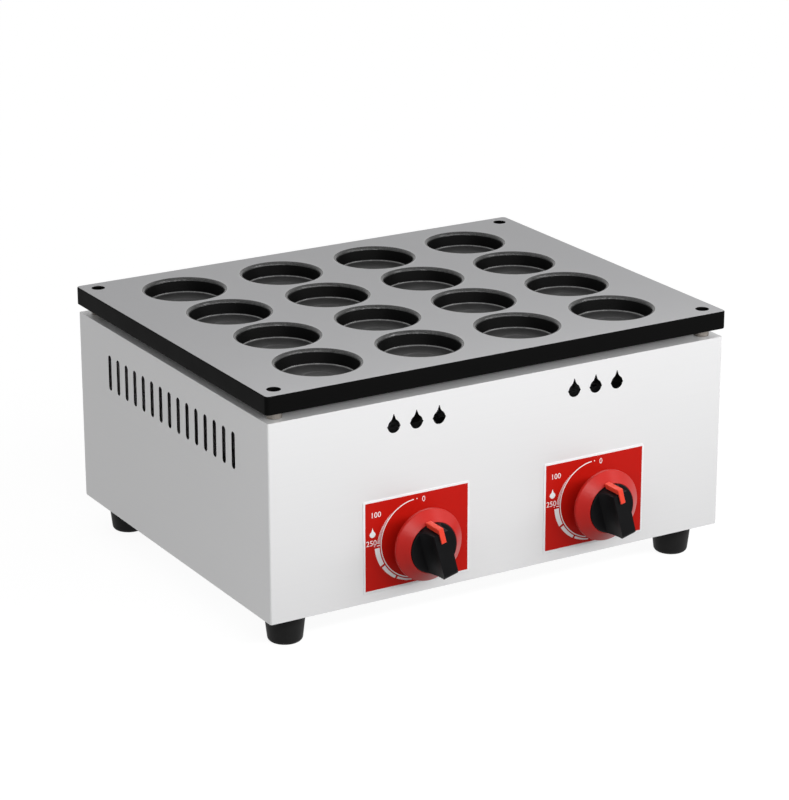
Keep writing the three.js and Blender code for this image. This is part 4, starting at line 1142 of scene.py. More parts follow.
class MAKER_OT_base_pan(bpy.types.Operator):
    """Builds the base pan with its air slots"""

    bl_idname = "maker.base_pan"
    bl_label = "Base pan"

    def execute(self, context):
        sizes = context.scene.maker_sheet
        t = sizes.thickness
        low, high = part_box("base_pan")
        pan = slab(low, high, sizes.bend)
        inside_low = (low.x + t, low.y + t, low.z + t)
        inside_high = (high.x - t, high.y - t, high.z + OVERRUN)
        pan = cut(pan, slab(inside_low, inside_high, sizes.bend - t))
        through = (low.z - OVERRUN, low.z + t + OVERRUN)
        long, wide = sizes.pan_slot_length, sizes.pan_slot_width
        slot = oblong(-long / 2, long / 2, -wide / 2, wide / 2, wide * NEARLY_HALF, steps=8)
        slot = prism(slot, *through)
        step = Vector((0, sizes.pan_slot_pitch, 0))
        for sign in (-1, 1):
            start = Vector((sign * sizes.pan_slot_offset, MID_DEPTH, 0)) - step * (sizes.pan_slots - 1) / 2
            pan = cut(pan, in_row(slot.copy(), sizes.pan_slots, start, step))
        fasteners = context.scene.maker_fastener
        feet = drills("Z", fasteners.foot_screw + FIT_GAP, *through, FOOT_SCREWS)
        screws = drills("Z", fasteners.screw_shank + FIT_GAP, *through, PAN_SCREWS)
        piece("base_pan", cut(pan, *feet, *screws), sizes.edge)
        return {"FINISHED"}


def filled(loops, height):
    """A flat face over closed outlines, the inner ones as holes."""
    work = bmesh.new()
    for loop in loops:
        corners = [work.verts.new((a, b, height)) for a, b in loop]
        for i, corner in enumerate(corners):
            work.edges.new((corners[i - 1], corner))
    bmesh.ops.triangle_fill(work, use_beauty=True, use_dissolve=False, edges=work.edges)
    mesh = bpy.data.meshes.new("mesh")
    work.to_mesh(mesh)
    work.free()
    return mesh


def plate_ring(sizes, inset, height):
    """The plate's outline at a height, drawn in by an inset, as (a, b, height) points."""
    low, high = PLATE_LOW, PLATE_HIGH
    outline = oblong(low.x + inset, high.x - inset, low.y + inset, high.y - inset, sizes.corner - inset)
    return [(a, b, height) for a, b in outline]


def rim_outline(sizes):
    """The inner outline of the rim, which goes round a boss in each corner."""
    inset = sizes.rim - sizes.bolt_inset
    reach = math.asin(inset / sizes.boss)
    outline = []
    for sign_x, sign_y, turn in ((-1, -1, 0), (1, -1, 1), (1, 1, 2), (-1, 1, 3)):
        centre = (
            sign_x * (HALF_WIDTH - sizes.bolt_inset),
            MID_DEPTH + sign_y * ((REAR - FRONT) / 2 - sizes.bolt_inset),
        )
        start = turn * QUARTER
        outline += arc(centre, sizes.boss, start + QUARTER - reach, start + reach, 12)
    return outline


def cup_profiles(sizes):
    """Profiles of one cup and of the bowl under it, from the top down, each with its finish."""
    top, floor = PLATE_HIGH.z, PLATE_HIGH.z - sizes.depth
    foot, edge = sizes.mouth - sizes.draft, sizes.floor_round
    lip = arc((sizes.mouth + sizes.lip, top - sizes.lip), sizes.lip, QUARTER, math.pi, 8)
    corner = arc((foot - edge, floor + edge), edge, 0, -QUARTER, 6)
    ring, drop = sizes.step_radius, sizes.step_depth
    slope = [(ring + drop * (SLOPE_REACH - t), floor - drop * t) for t in (0, 0.25, 1)]
    bowl, under = sizes.mouth + sizes.bowl_wall, floor - sizes.bowl_floor
    return {
        "bare_edge": [(sizes.mouth + sizes.lip + sizes.land, top), lip[0]],
        # The lip takes painted sheen and partly painted glints
        "cup_lip": lip,
        "cup_coat": [lip[-1], *corner[:3]],
        # The fillet ring carries a painted highlight
        "bare_fillet": corner[2:5],
        # The floor takes a lighter finish than the wall: painted sheen
        "cup_floor": [*corner[4:], *slope, (0, floor - drop)],
        "plate_edge": [
            (bowl, top - sizes.web),
            *arc((bowl - edge, under + edge), edge, 0, -QUARTER, 3),
            (0, under),
        ],
    }


class MAKER_OT_mould_plate(bpy.types.Operator):
    """Builds the cast mould plate with its rows of cups"""

    bl_idname = "maker.mould_plate"
    bl_label = "Mould plate"

    def execute(self, context):
        sizes = context.scene.maker_plate
        low, top, web = PLATE_LOW.z, PLATE_HIGH.z, PLATE_HIGH.z - sizes.web
        rows = len(sizes.shifts)
        centres = [
            (
                shift + (column - (sizes.columns - 1) / 2) * sizes.pitch_x,
                MID_DEPTH + (row - (rows - 1) / 2) * sizes.pitch_y,
            )
            for row, shift in enumerate(sizes.shifts)
            for column in range(sizes.columns)
        ]
        bolts = [middle(f"plate_bolt_{corner}").to_2d() for corner in CORNERS]
        edge = sizes.edge
        turns = [QUARTER * i / 3 for i in range(4)]
        upper = [(edge * (1 - math.sin(a)), top - edge * (1 - math.cos(a))) for a in turns]
        lower = [(edge * (1 - math.cos(a)), low + edge * (1 - math.sin(a))) for a in turns]
        bands = {"cast_plate": upper[:2], "plate_edge": upper[1:] + lower}
        parts = [
            painted(lofted([plate_ring(sizes, *step) for step in steps]), name)
            for name, steps in bands.items()
        ]

        def outline(inset, height):
            return [point[:2] for point in plate_ring(sizes, inset, height)]

        mouth = sizes.mouth + sizes.lip + sizes.land
        wide = sizes.bolt_hole + sizes.bolt_chamfer
        holes = [circle(centre, mouth, ROUND_LARGE) for centre in centres]
        holes += [circle(bolt, wide) for bolt in bolts]
        parts.append(painted(filled([outline(*upper[0]), *holes], top), "cast_plate"))
        rim = rim_outline(sizes)
        shanks = [circle(bolt, sizes.bolt_shank_hole) for bolt in bolts]
        bowls = [circle(centre, sizes.mouth + sizes.bowl_wall, ROUND_LARGE) for centre in centres]
        seat = top - sizes.bolt_sink
        bore = [(wide, top), (sizes.bolt_hole, top - sizes.bolt_chamfer), (sizes.bolt_hole, seat)]
        bore += [(sizes.bolt_shank_hole, seat), (sizes.bolt_shank_hole, low)]
        parts.append(painted(filled([outline(*lower[-1]), rim, *shanks], low), "cast_plate"))
        black = [
            filled([rim, *bowls], web),
            lofted([[(a, b, height) for a, b in rim] for height in (low, web)]),
            *(lofted(spun_rings(bore, bolt, "Z", ROUND)) for bolt in bolts),
        ]
        parts += [painted(skin, "plate_edge") for skin in black]
        values = {"Columns": sizes.columns, "Pitch X": sizes.pitch_x, "Pitch Y": sizes.pitch_y}
        values.update({f"Shift {row + 1}": shift for row, shift in enumerate(sizes.shifts)})
        tree = cup_tree(rows)
        for name, profile in cup_profiles(sizes).items():
            skin = lofted(spun_rings(profile, (0, 0), "Z", ROUND_LARGE))
            cups = run_tree(tree, {**values, "Material": finish(name)}, item=skin)
            parts.append(moved(cups, 0, MID_DEPTH, 0))
        piece("mould_plate", cleaned(gathered(parts)))
        return {"FINISHED"}


class MAKER_OT_mountings(bpy.types.Operator):
    """Builds the spacers and bolts that carry the mould plate"""

    bl_idname = "maker.mountings"
    bl_label = "Spacers and bolts"

    def execute(self, context):
        sizes = context.scene.maker_fastener
        for corner in CORNERS:
            low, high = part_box(f"plate_spacer_{corner}")
            centre = middle(f"plate_spacer_{corner}").to_2d()
            hole = sizes.bolt_shank + FIT_GAP
            ring = tube("Z", sizes.spacer, hole, low.z, high.z, centre, ROUND, ROUND_EDGE)
            piece(f"plate_spacer_{corner}", painted(ring, "dull_steel"))
            low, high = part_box(f"plate_bolt_{corner}")
            under, bottom = high.z - sizes.bolt_head_height, high.z - sizes.bolt_socket_depth
            head = rod("Z", sizes.bolt_head, under, high.z, centre, ROUND, SMALL_EDGE)
            shank = rod("Z", sizes.bolt_shank, low.z, bottom, centre, ROUND_SMALL, SMALL_EDGE)
            socket = prism(circle(centre, sizes.bolt_socket, 6), bottom, high.z + OVERRUN)
            piece(f"plate_bolt_{corner}", cut(joined(head, shank), socket))
        return {"FINISHED"}


class MAKER_OT_feet(bpy.types.Operator):
    """Builds the rubber feet and their screws"""

    bl_idname = "maker.feet"
    bl_label = "Feet"

    def execute(self, context):
        sizes = context.scene.maker_fastener
        for corner in CORNERS:
            low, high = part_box(f"foot_{corner}")
            centre = middle(f"foot_{corner}").to_2d()
            hole, recess = sizes.foot_screw + FIT_GAP, low.z + sizes.foot_recess_depth
            corners = [
                (sizes.foot_recess, low.z, SOFT_EDGE),
                (sizes.foot_bottom, low.z, sizes.foot_edge),
                (sizes.foot_top, high.z, SMALL_EDGE),
                (hole, high.z, 0),
                (hole, recess, 0),
                (sizes.foot_recess, recess, SMALL_EDGE),
            ]
            piece(f"foot_{corner}", turned(rounded(corners, 6), centre, "Z", ROUND_LARGE))
            low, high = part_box(f"foot_screw_{corner}")
            tall = sizes.foot_screw_head_height
            head = rod("Z", sizes.foot_screw_head, low.z, low.z + tall, centre, ROUND, SOFT_EDGE)
            shank = rod("Z", sizes.foot_screw, low.z + tall / 2, high.z, centre, ROUND_SMALL, SMALL_EDGE)
            reach = Vector((sizes.foot_screw_head, sizes.foot_slot / 2))
            slot = slab((*(centre - reach), low.z - OVERRUN), (*(centre + reach), low.z + tall / 3))
            piece(f"foot_screw_{corner}", cut(joined(head, shank), slot))
        return {"FINISHED"}


class MAKER_OT_small_screws(bpy.types.Operator):
    """Builds the screws of the rear panel and of the base pan"""

    bl_idname = "maker.small_screws"
    bl_label = "Small screws"

    # The cross in a head: its length and width against the head's radius and the shank's, and
    # where its floor lies in the head's height
    CROSS_LENGTH, CROSS_WIDTH, CROSS_FLOOR = 0.62, 0.6, 0.45

    def execute(self, context):
        sizes = context.scene.maker_fastener
        self.row("rear_screws", REAR_SCREWS, sizes, "Y", REAR, 1)
        self.row("pan_screws", PAN_SCREWS, sizes, "Z", SHELL_LOW.z, -1)
        return {"FINISHED"}

    def row(self, name, nodes, sizes, axis, face, out):
        """Screws on a panel's outer face, one piece for all of them."""
        height, slot = sizes.screw_head_height, sizes.screw_shank / 2
        profile = [
            (0, out * height),
            *((r, out * h) for r, h in arc((sizes.screw_head - height, 0), height, QUARTER, 0, 5)),
            (sizes.screw_shank, 0),
            (sizes.screw_shank, -out * sizes.screw_length),
            (0, -out * sizes.screw_length),
        ]
        screw = turned(profile, (0, 0), axis, ROUND_SMALL)
        ends = sorted((out * height * self.CROSS_FLOOR, out * (height + OVERRUN)))
        arms = [sizes.screw_head * self.CROSS_LENGTH, slot * self.CROSS_WIDTH]
        for a, b in (arms, arms[::-1]):
            screw = cut(screw, prism(oblong(-a, a, -b, b, 0), *ends, "XZ" if axis == "Y" else "XY"))
        spots = []
        for node in nodes:
            spot = middle(node)
            spots.append((spot.x, face, spot.z) if axis == "Y" else (spot.x, spot.y, face))
        values = {"Material": finish(NODE_SLOT[nodes[0]])}
        mesh = run_tree(places_tree(), values, mesh=plain_mesh(spots), item=screw)
        obj = piece(nodes[0], mesh, name=name)
        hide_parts(*nodes)


def segment(inner, outer, start, end, steps=12):
    """A part of a ring, as an outline. Its outer radius may differ at its two ends."""
    turns = [start + (end - start) * i / steps for i in range(steps + 1)]
    far = [outer[0] + (outer[1] - outer[0]) * i / steps for i in range(steps + 1)]
    outside = [(r * math.cos(a), r * math.sin(a)) for r, a in zip(far, turns)]
    return outside + [(inner * math.cos(a), inner * math.sin(a)) for a in reversed(turns)]


class MAKER_OT_dials(bpy.types.Operator):
    """Builds the printed dial plates"""

    bl_idname = "maker.dials"
    bl_label = "Dial plates"

    def execute(self, context):
        sizes = context.scene.maker_dial
        hole = context.scene.maker_sheet.shaft_hole
        for side in SIDES:
            node = f"dial_plate_{side}"
            low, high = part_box(node)
            x, z = control_centre(side)
            through = rod("Y", hole, low.y - OVERRUN, high.y + OVERRUN, (x, z), ROUND)
            ink, rim = sizes.ink, sizes.border
            outline = oblong(low.x, high.x, low.z, high.z, sizes.corner)
            field = oblong(low.x + rim, high.x - rim, low.z + rim, high.z - rim, ink)
            marks = [
                prism([(x + a, z + b) for a, b in mark], low.y, low.y + 2 * ink, "XZ")
                for mark in self.marks(sizes)
            ]
            plate = cut(prism(outline, low.y + 2 * ink, high.y, "XZ"), through)
            red = cut(prism(field, low.y + ink, low.y + 3 * ink, "XZ"), through)
            digits = [
                moved(self.digit(text, sizes), x + a * MM, low.y + ink, z + b * MM)
                for text, (a, b) in DIGITS.items()
            ]
            parts = [painted(plate, "dial_marks"), painted(red, "dial_print")]
            parts += [painted(mark, "dial_marks") for mark in (*marks, *digits)]
            piece(node, gathered(parts))
        return {"FINISHED"}

    def marks(self, sizes):
        """Outlines of the arc, the hatched crescent, the ticks, the heat blocks and the flame."""
        radius, half = sizes.arc, sizes.line / 2
        line = (radius + half, radius + half)
        outlines = [segment(radius - half, line, *map(math.radians, DIAL_ARC), 60)]
        outlines.append(circle((0, radius), half * END_DOT, 12))
        start, lean, thin = radius + 2 * half, math.radians(HATCH["lean"]), math.radians(HATCH["thin"])
        for i in range(HATCH["steps"]):
            turn = math.radians(HATCH["start"] + HATCH["turn"] * i / HATCH["steps"])
            end = start + sizes.hatch * (i + 1) / HATCH["steps"]
            stroke = [(start, turn), (start, turn + thin), (end, turn + thin - lean), (end, turn - lean)]
            outlines.append([(r * math.cos(a), r * math.sin(a)) for r, a in stroke])
        tick, outer_start, outer_tick = (length * MM for length in (TICK, *OUTER_TICK))
        for reach, length in ((start, tick), (radius + outer_start, outer_tick)):
            outlines.append(oblong(-reach - length, -reach, -half * TICK_HALF, half * TICK_HALF, 0))
        inner = sizes.block_inner
        for first, last, *widths in HEAT_BLOCKS:
            outer = [inner + width * MM for width in widths]
            outlines.append(segment(inner, outer, math.radians(first), math.radians(last)))
        outlines.append(flame_outline(*(length * MM for length in DIAL_FLAME)))
        return outlines

    def digit(self, text, sizes):
        """A printed number that stands upright and faces the front."""
        curve = bpy.data.curves.new("digit", "FONT")
        curve.body = text
        curve.size = sizes.digit * DIGIT_FONT_SCALE
        curve.align_x = "CENTER"
        curve.align_y = "CENTER"
        curve.extrude = sizes.ink
        mesh = worked_out(scratch(curve))
        mesh.transform(Matrix.Rotation(QUARTER, 4, "X"))
        return cleaned(mesh)


def out(reach):
    """Where a reach in front of the front panel lies along Y."""
    return FRONT - reach


def shaft(sizes, side, gap, front, back):
    """A knob's stem, flat on its upper side where the knob sits on it."""
    x, z = control_centre(side)
    radius, flat = sizes.stem + gap, z + sizes.stem + gap - sizes.stem_flat
    bar = rod("Y", radius, front, back, (x, z), ROUND, 0 if gap else ROUND_EDGE)
    flat_back, wide = out(sizes.hub_reach) + FIT_GAP, 2 * radius
    return cut(bar, slab((x - wide, front - OVERRUN, flat), (x + wide, flat_back, z + wide)))


class MAKER_OT_knobs(bpy.types.Operator):
    """Builds the grip, the skirt and the pointer of each knob"""

    bl_idname = "maker.knobs"
    bl_label = "Knobs"

    def execute(self, context):
        sizes = context.scene.maker_knob
        for side in SIDES:
            centre = control_centre(side)
            pointer = self.pointer(sizes, centre)
            piece(f"knob_grip_{side}", self.grip(sizes, side), sizes.grip_edge, 3)
            piece(f"knob_skirt_{side}", self.skirt(sizes, centre))
            piece(f"knob_pointer_{side}", painted(pointer, "pointer_plastic"), CRISP_EDGE, 3)
        return {"FINISHED"}

    def skirt(self, sizes, centre):
        wall, rim = sizes.skirt_wall, sizes.skirt
        hole, neck = sizes.hub + FIT_GAP, sizes.boss + FIT_GAP
        corners = [
            (hole, out(sizes.skirt_web + wall), 0),
            (neck, out(sizes.skirt_web + wall), 0),
            (neck, out(sizes.skirt_neck), THIN_EDGE),
            (rim, out(sizes.skirt_rim), SOFT_EDGE),
            (rim, out(sizes.skirt_back), THIN_EDGE),
            (rim - wall, out(sizes.skirt_back), THIN_EDGE),
            (rim - wall, out(sizes.skirt_web), 0),
            (hole, out(sizes.skirt_web), 0),
        ]
        return turned(rounded(corners, 4), centre, "Y", ROUND_FINE)

    def to_rest(self, mesh, sizes, centre):
        """Turns what is drawn upright about the knob's axis, to where the grip points at rest."""
        axis = Matrix.Translation((centre[0], 0, centre[1]))
        mesh.transform(axis @ Matrix.Rotation(-sizes.rest_turn, 4, "Y") @ axis.inverted())
        return mesh

    def grip(self, sizes, side):
        x, z = centre = control_centre(side)
        radius, face = sizes.boss, out(sizes.boss_reach)
        web = out(sizes.skirt_web + sizes.skirt_wall + FIT_GAP)
        corners = [(0, face, 0), (radius, face, WIDE_EDGE), (radius, web, 0), (sizes.hub, web, 0)]
        corners += [(sizes.hub, out(sizes.hub_reach), SMALL_EDGE), (0, out(sizes.hub_reach), 0)]
        boss = turned(rounded(corners), centre, "Y", ROUND_FINE)
        front, back = out(sizes.bar_reach), face + OVERRUN
        steps, half, foot = FLANK_STEPS, sizes.bar_half, sizes.bar_foot
        flank = [(foot, back)]
        for i in range(steps + 1):
            flare = (foot - half) * (1 - i / steps) ** sizes.bar_flare
            flank.append((half + flare, face + (front - face) * i / steps))
        flank.append((half, front - OVERRUN))
        section = [(x + wide, y) for wide, y in flank] + [(x - wide, y) for wide, y in reversed(flank)]
        tall, top, tail = radius + OVERRUN, z + sizes.top_height, sizes.tail_round
        corners = [(back, z - tall, 0), (front + tail, z - tall, 0), (front + tail, z - radius, 0)]
        corners += [(front, z - radius, tail * NEARLY_ALL), (front, top, 0), (back, top, 0)]
        bar = common(
            prism(section, z - tall, z + tall),
            prism(rounded(corners, 6), x - foot - OVERRUN, x + foot + OVERRUN, "YZ"),
        )
        bar = common(
            self.to_rest(bar, sizes, centre),
            rod("Y", radius, front - OVERRUN, back + OVERRUN, centre, ROUND_FINE),
        )
        bore = shaft(sizes, side, FIT_GAP, STEM_FRONT - FIT_GAP, out(sizes.hub_reach) + OVERRUN)
        return cut(joined(boss, bar), bore)

    def pointer(self, sizes, centre):
        """A bent strip on the bar's top and a little way down its front."""
        x, z = centre
        low, back = z + sizes.top_height + FIT_GAP, out(sizes.boss_reach + FIT_GAP)
        front, face = out(sizes.bar_reach + FIT_GAP), out(sizes.bar_reach + FIT_GAP + sizes.pointer_front)
        outline = [
            (back, low),
            (front, low),
            (front, z + sizes.pointer_end),
            (face, z + sizes.pointer_end),
            (face, low + sizes.pointer_rise),
            (back, low + sizes.pointer_rise),
        ]
        strip = prism(outline, x - sizes.pointer_half, x + sizes.pointer_half, "YZ")
        return self.to_rest(strip, sizes, centre)


class MAKER_OT_stems(bpy.types.Operator):
    """Builds the valve stems with their spring cups and return springs"""

    bl_idname = "maker.stems"
    bl_label = "Stems and springs"

    def execute(self, context):
        sizes = context.scene.maker_knob
        tree = coil_tree()
        for side in SIDES:
            centre = control_centre(side)
            low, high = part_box(f"valve_stem_{side}")
            start = FRONT + sizes.shoulder_start
            end = start + sizes.shoulder_length
            ring = rod("Y", sizes.stem_shoulder, start, end, centre, ROUND, CRISP_EDGE)
            piece(f"valve_stem_{side}", joined(shaft(sizes, side, 0, low.y, high.y), ring))
            low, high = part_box(f"spring_cup_{side}")
            radius = (high.x - low.x) / 2
            face = low.y + SEAT_GAP
            cup = tube("Y", radius, sizes.stem + FIT_GAP, face, high.y, centre, ROUND, CRISP_EDGE)
            piece(f"spring_cup_{side}", cup)
            self.spring(context.scene.maker_spring, side, tree)
        return {"FINISHED"}

    def spring(self, sizes, side, tree):
        """A wound spring round a knob's stem, as long as its CAD node."""
        node, joint = f"return_spring_{side}", f"{side}_knob_press"
        low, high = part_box(node)
        x, z = control_centre(side)
        length = high.y - low.y - 2 * sizes.wire
        values = {"Turns": sizes.turns, "Radius": sizes.radius, "Length": length, "Wire": sizes.wire}
        values.update({"Steps": sizes.steps, "Sides": sizes.sides, "Material": finish(NODE_SLOT[node])})
        mesh = run_tree(tree, values)
        mesh.transform(Matrix.Rotation(-QUARTER, 4, "X"))
        obj = piece(node, cleaned(moved(mesh, x, low.y + sizes.wire, z)))
        travel = next(j["range_m"][1] for j in frame["joints"] if j["name"] == joint)
        keep = 1 - travel / (high.y - low.y)
        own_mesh(obj)


class MAKER_OT_valves(bpy.types.Operator):
    """Builds the gas valves with their spark strikers, and the injectors"""

    bl_idname = "maker.valves"
    bl_label = "Valves and injectors"

    def execute(self, context):
        sizes = context.scene.maker_gas
        for side in SIDES:
            piece(f"gas_valve_{side}", self.valve(sizes, context.scene.maker_knob, side), CRISP_EDGE)
            self.injector(sizes, side)
        return {"FINISHED"}

    def valve(self, sizes, stem, side):
        x, z = control_centre(side)
        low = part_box(f"gas_valve_{side}")[0]
        pipe = middle("gas_manifold")
        half, saddle = sizes.block_half, sizes.saddle_half
        bonnet, block = FRONT + sizes.bonnet_back, FRONT + sizes.block_back
        rise = (x, z + sizes.striker_rise)
        striker = (FRONT + sizes.striker_front, FRONT + sizes.striker_back)
        web = sizes.nozzle
        parts = [
            rod("Y", sizes.bonnet, low.y, bonnet + OVERRUN, (x, z), ROUND),
            slab((x - half, bonnet, z - half), (x + half, block, z + half)),
            rod("Y", sizes.outlet, block - OVERRUN, block + (sizes.terminal + sizes.jet), (x, z), ROUND),
            rod("Z", sizes.outlet, pipe.z, z - half + OVERRUN, (x, pipe.y), ROUND),
            slab((x - saddle, pipe.y - saddle, pipe.z), (x + saddle, pipe.y + saddle, pipe.z + saddle)),
            rod("Y", sizes.striker, *striker, rise, ROUND),
            slab((x - web, bonnet, z), (x + web, striker[1], z + sizes.striker_rise)),
            rod("Y", sizes.terminal, striker[0], striker[1] + sizes.inlet_flange_length, rise),
        ]
        valve = joined(rod("Y", sizes.flange, low.y, low.y + sizes.flange_length, (x, z), ROUND), *parts)
        wide = 2 * saddle
        return cut(
            valve,
            rod("Y", sizes.chamber, low.y - OVERRUN, FRONT + sizes.chamber_back, (x, z), ROUND),
            rod("Y", stem.stem + FIT_GAP, low.y - OVERRUN, block - 2 * OVERRUN, (x, z), ROUND_SMALL),
            rod("X", sizes.pipe + FIT_GAP, x - wide, x + wide, (pipe.y, pipe.z), ROUND),
        )

    def injector(self, sizes, side):
        centre = control_centre(side)
        low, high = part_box(f"injector_{side}")
        back = low.y + sizes.injector_hex
        hexagon = rod("Y", sizes.injector, low.y, back, centre, 6)
        nozzle = rod("Y", sizes.nozzle, back - OVERRUN, high.y, centre, ROUND_SMALL, ROUND_EDGE)
        jet = rod("Y", sizes.jet, low.y - OVERRUN, high.y + OVERRUN, centre, ROUND_SMALL)
        piece(f"injector_{side}", cut(joined(hexagon, nozzle), jet), THIN_EDGE)


def air_windows(sizes, centre, start, end):
    """Cutting shapes for the windows that let air into a bell, as one mesh."""
    x, z = centre
    shapes = []
    for i in range(sizes.windows):
        turn = QUARTER + i * FULL_TURN / sizes.windows
        half = sizes.window_angle / 2
        reach = (sizes.window_outer, sizes.window_outer)
        outline = segment(sizes.window_inner, reach, turn - half, turn + half)
        shapes.append(prism([(x + a, z + b) for a, b in outline], start - OVERRUN, end + OVERRUN, "XZ"))
    return gathered(shapes)


class MAKER_OT_burners(bpy.types.Operator):
    """Builds the cast burners and their air shutters"""

    bl_idname = "maker.burners"
    bl_label = "Burners and shutters"

    def execute(self, context):
        sizes = context.scene.maker_gas
        for side in SIDES:
            piece(f"burner_{side}", self.burner(sizes, side))
            self.shutter(sizes, side)
        return {"FINISHED"}

    def tubes(self, sizes, side, wall):
        """A burner's tubes, drawn once for the outside and once, less the wall, for the inside."""
        low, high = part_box(f"burner_{side}")
        x, z = control_centre(side)
        bar, mixing, bell = sizes.bar - wall, sizes.mixing - wall, sizes.bell - wall
        level = high.z - sizes.bar
        face = FRONT + sizes.bell_depth + (sizes.bell_face if wall else 0)
        bell_back = FRONT + sizes.bell_depth + sizes.bell_length
        cone_back = bell_back + sizes.bell_cone
        edge, bend = sizes.cast_edge, sizes.cast_bend
        corners = [(0, face, 0), (bell, face, edge), (bell, bell_back, bend), (mixing, cone_back, bend)]
        profile = rounded([*corners, (mixing, MID_DEPTH, 0), (0, MID_DEPTH, 0)], 4)
        elbow = [(math.cos(a) * mixing, z + math.sin(a) * mixing) for a in ELBOW_TURNS]
        left, right = low.x + sizes.bar, high.x - sizes.bar
        ends = (low.y + wall, high.y - wall)
        rods = [
            turned(elbow[::-1], (x, MID_DEPTH), "Z", ROUND_BAR),
            rod("Z", mixing, z, level, (x, MID_DEPTH), ROUND_BAR),
            rod("X", bar, left, right, (MID_DEPTH, level), ROUND_BAR),
            rod("Y", bar, *ends, (left, level), ROUND_BAR, edge),
            rod("Y", bar, *ends, (right, level), ROUND_BAR, edge),
        ]
        return joined(turned(profile, (x, z), "Y", ROUND), *rods)

    def burner(self, sizes, side):
        low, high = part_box(f"burner_{side}")
        centre = control_centre(side)
        face = FRONT + sizes.bell_depth
        back = face + sizes.bell_face
        shape = cut(self.tubes(sizes, side, 0), self.tubes(sizes, side, sizes.wall))
        mouth = face - sizes.collar_length
        shape = joined(shape, rod("Y", sizes.collar, mouth, back, centre, ROUND, CRISP_EDGE))
        long, half = sizes.port_length / 2, sizes.port_width / 2
        port = slab((-long, -half, high.z - sizes.bar), (long, half, high.z + OVERRUN))
        step = Vector((0, sizes.port_pitch, 0))
        rows = []
        for bar in (low.x + sizes.bar, high.x - sizes.bar):
            start = Vector((bar, MID_DEPTH, 0)) - step * (sizes.ports - 1) / 2
            rows.append(in_row(port.copy(), sizes.ports, start, step))
        bore = rod("Y", sizes.collar_bore, mouth - OVERRUN, back + OVERRUN, centre)
        return cut(shape, gathered([*rows, air_windows(sizes, centre, face, back), bore]))

    def shutter(self, sizes, side):
        low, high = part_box(f"air_shutter_{side}")
        x, z = centre = control_centre(side)
        disc = tube("Y", sizes.shutter, sizes.collar + FIT_GAP, low.y, high.y, centre, ROUND)
        half, top = sizes.tab_half, z - (sizes.collar + sizes.shutter) / 2
        tab = prism(oblong(x - half, x + half, low.z, top, sizes.cast_edge, 0), low.y, high.y, "XZ")
        shutter = cut(joined(disc, tab), air_windows(sizes, centre, low.y, high.y))
        piece(f"air_shutter_{side}", shutter, sizes.shutter_edge)


class MAKER_OT_gas_pipes(bpy.types.Operator):
    """Builds the manifold, the feed pipe and the gas inlet with its nut"""

    bl_idname = "maker.gas_pipes"
    bl_label = "Gas pipes"

    def execute(self, context):
        sizes = context.scene.maker_gas
        low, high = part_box("gas_manifold")
        feed_low, feed_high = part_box("feed_pipe")
        feed = middle("feed_pipe")
        feed_centre = (feed.x, feed.z)
        pipe_centre = (low.y + sizes.pipe, feed.z)
        manifold = joined(
            rod("X", sizes.pipe, low.x, high.x, pipe_centre, ROUND, sizes.pipe_edge),
            rod("Y", sizes.pipe, pipe_centre[0], high.y, feed_centre, ROUND, SOFT_EDGE),
        )
        socket = rod("Y", sizes.feed + FIT_GAP, feed_low.y - FIT_GAP, high.y + OVERRUN, feed_centre, ROUND)
        piece("gas_manifold", cut(manifold, socket))
        ends = (feed_low.y, feed_high.y)
        bore = sizes.feed - sizes.feed_wall
        piece("feed_pipe", tube("Y", sizes.feed, bore, *ends, feed_centre, ROUND, CRISP_EDGE))
        self.inlet(sizes, feed_centre, feed_high.y)
        return {"FINISHED"}

    def inlet(self, sizes, centre, feed_end):
        low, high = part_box("gas_inlet")
        nut_low, nut_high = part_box("inlet_nut")
        edge, flange = SMALL_EDGE, REAR_LOW.y - sizes.inlet_flange_length
        corners = [
            (sizes.feed + FIT_GAP, low.y, 0),
            (sizes.inlet_socket, low.y, edge),
            (sizes.inlet_socket, flange, 0),
            (sizes.inlet_flange, flange, edge),
            (sizes.inlet_flange, REAR_LOW.y, edge),
            (sizes.inlet_neck, REAR_LOW.y, 0),
            (sizes.inlet_neck, nut_high.y, edge),
            (sizes.barb_root, nut_high.y, 0),
        ]
        for i in range(sizes.barbs):
            ridge = nut_high.y + (i + 1) * sizes.barb_pitch
            crest = ridge - sizes.barb_pitch / 2
            corners += [(sizes.barb_root, crest, 0), (sizes.barb, crest, THIN_EDGE)]
            corners.append((sizes.barb_root, ridge, 0))
        stop = feed_end + FIT_GAP
        corners += [(sizes.barb_root, high.y, edge), (sizes.inlet_bore, high.y, edge)]
        corners += [(sizes.inlet_bore, stop, 0), (sizes.feed + FIT_GAP, stop, 0)]
        piece("gas_inlet", turned(rounded(corners, 3), centre, "Y"))
        start, end = nut_low.y - OVERRUN, nut_high.y
        hexagon = prism(circle(centre, sizes.inlet_nut, 6), nut_low.y, end, "XZ")
        round_off = rod("Y", sizes.inlet_nut, start, end, centre, ROUND, WIDE_EDGE)
        hole = rod("Y", sizes.inlet_neck + FIT_GAP, start, end + OVERRUN, centre, ROUND)
        piece("inlet_nut", cut(common(hexagon, round_off), hole), sizes.shutter_edge)


class MAKER_OT_supports(bpy.types.Operator):
    """Finishes the burner rails and the heat shield"""

    bl_idname = "maker.supports"
    bl_label = "Rails and heat shield"

    def execute(self, context):
        edge = context.scene.maker_sheet.edge
        for node in ("burner_rail_front", "burner_rail_rear"):
            piece(node, refined(node), edge)
        # Painted shade: the zinc heat shield is painted near-black so that the holes in the front panel show dark
        # behind them
        piece("heat_shield", painted(refined("heat_shield"), "black_steel"), edge)
        return {"FINISHED"}


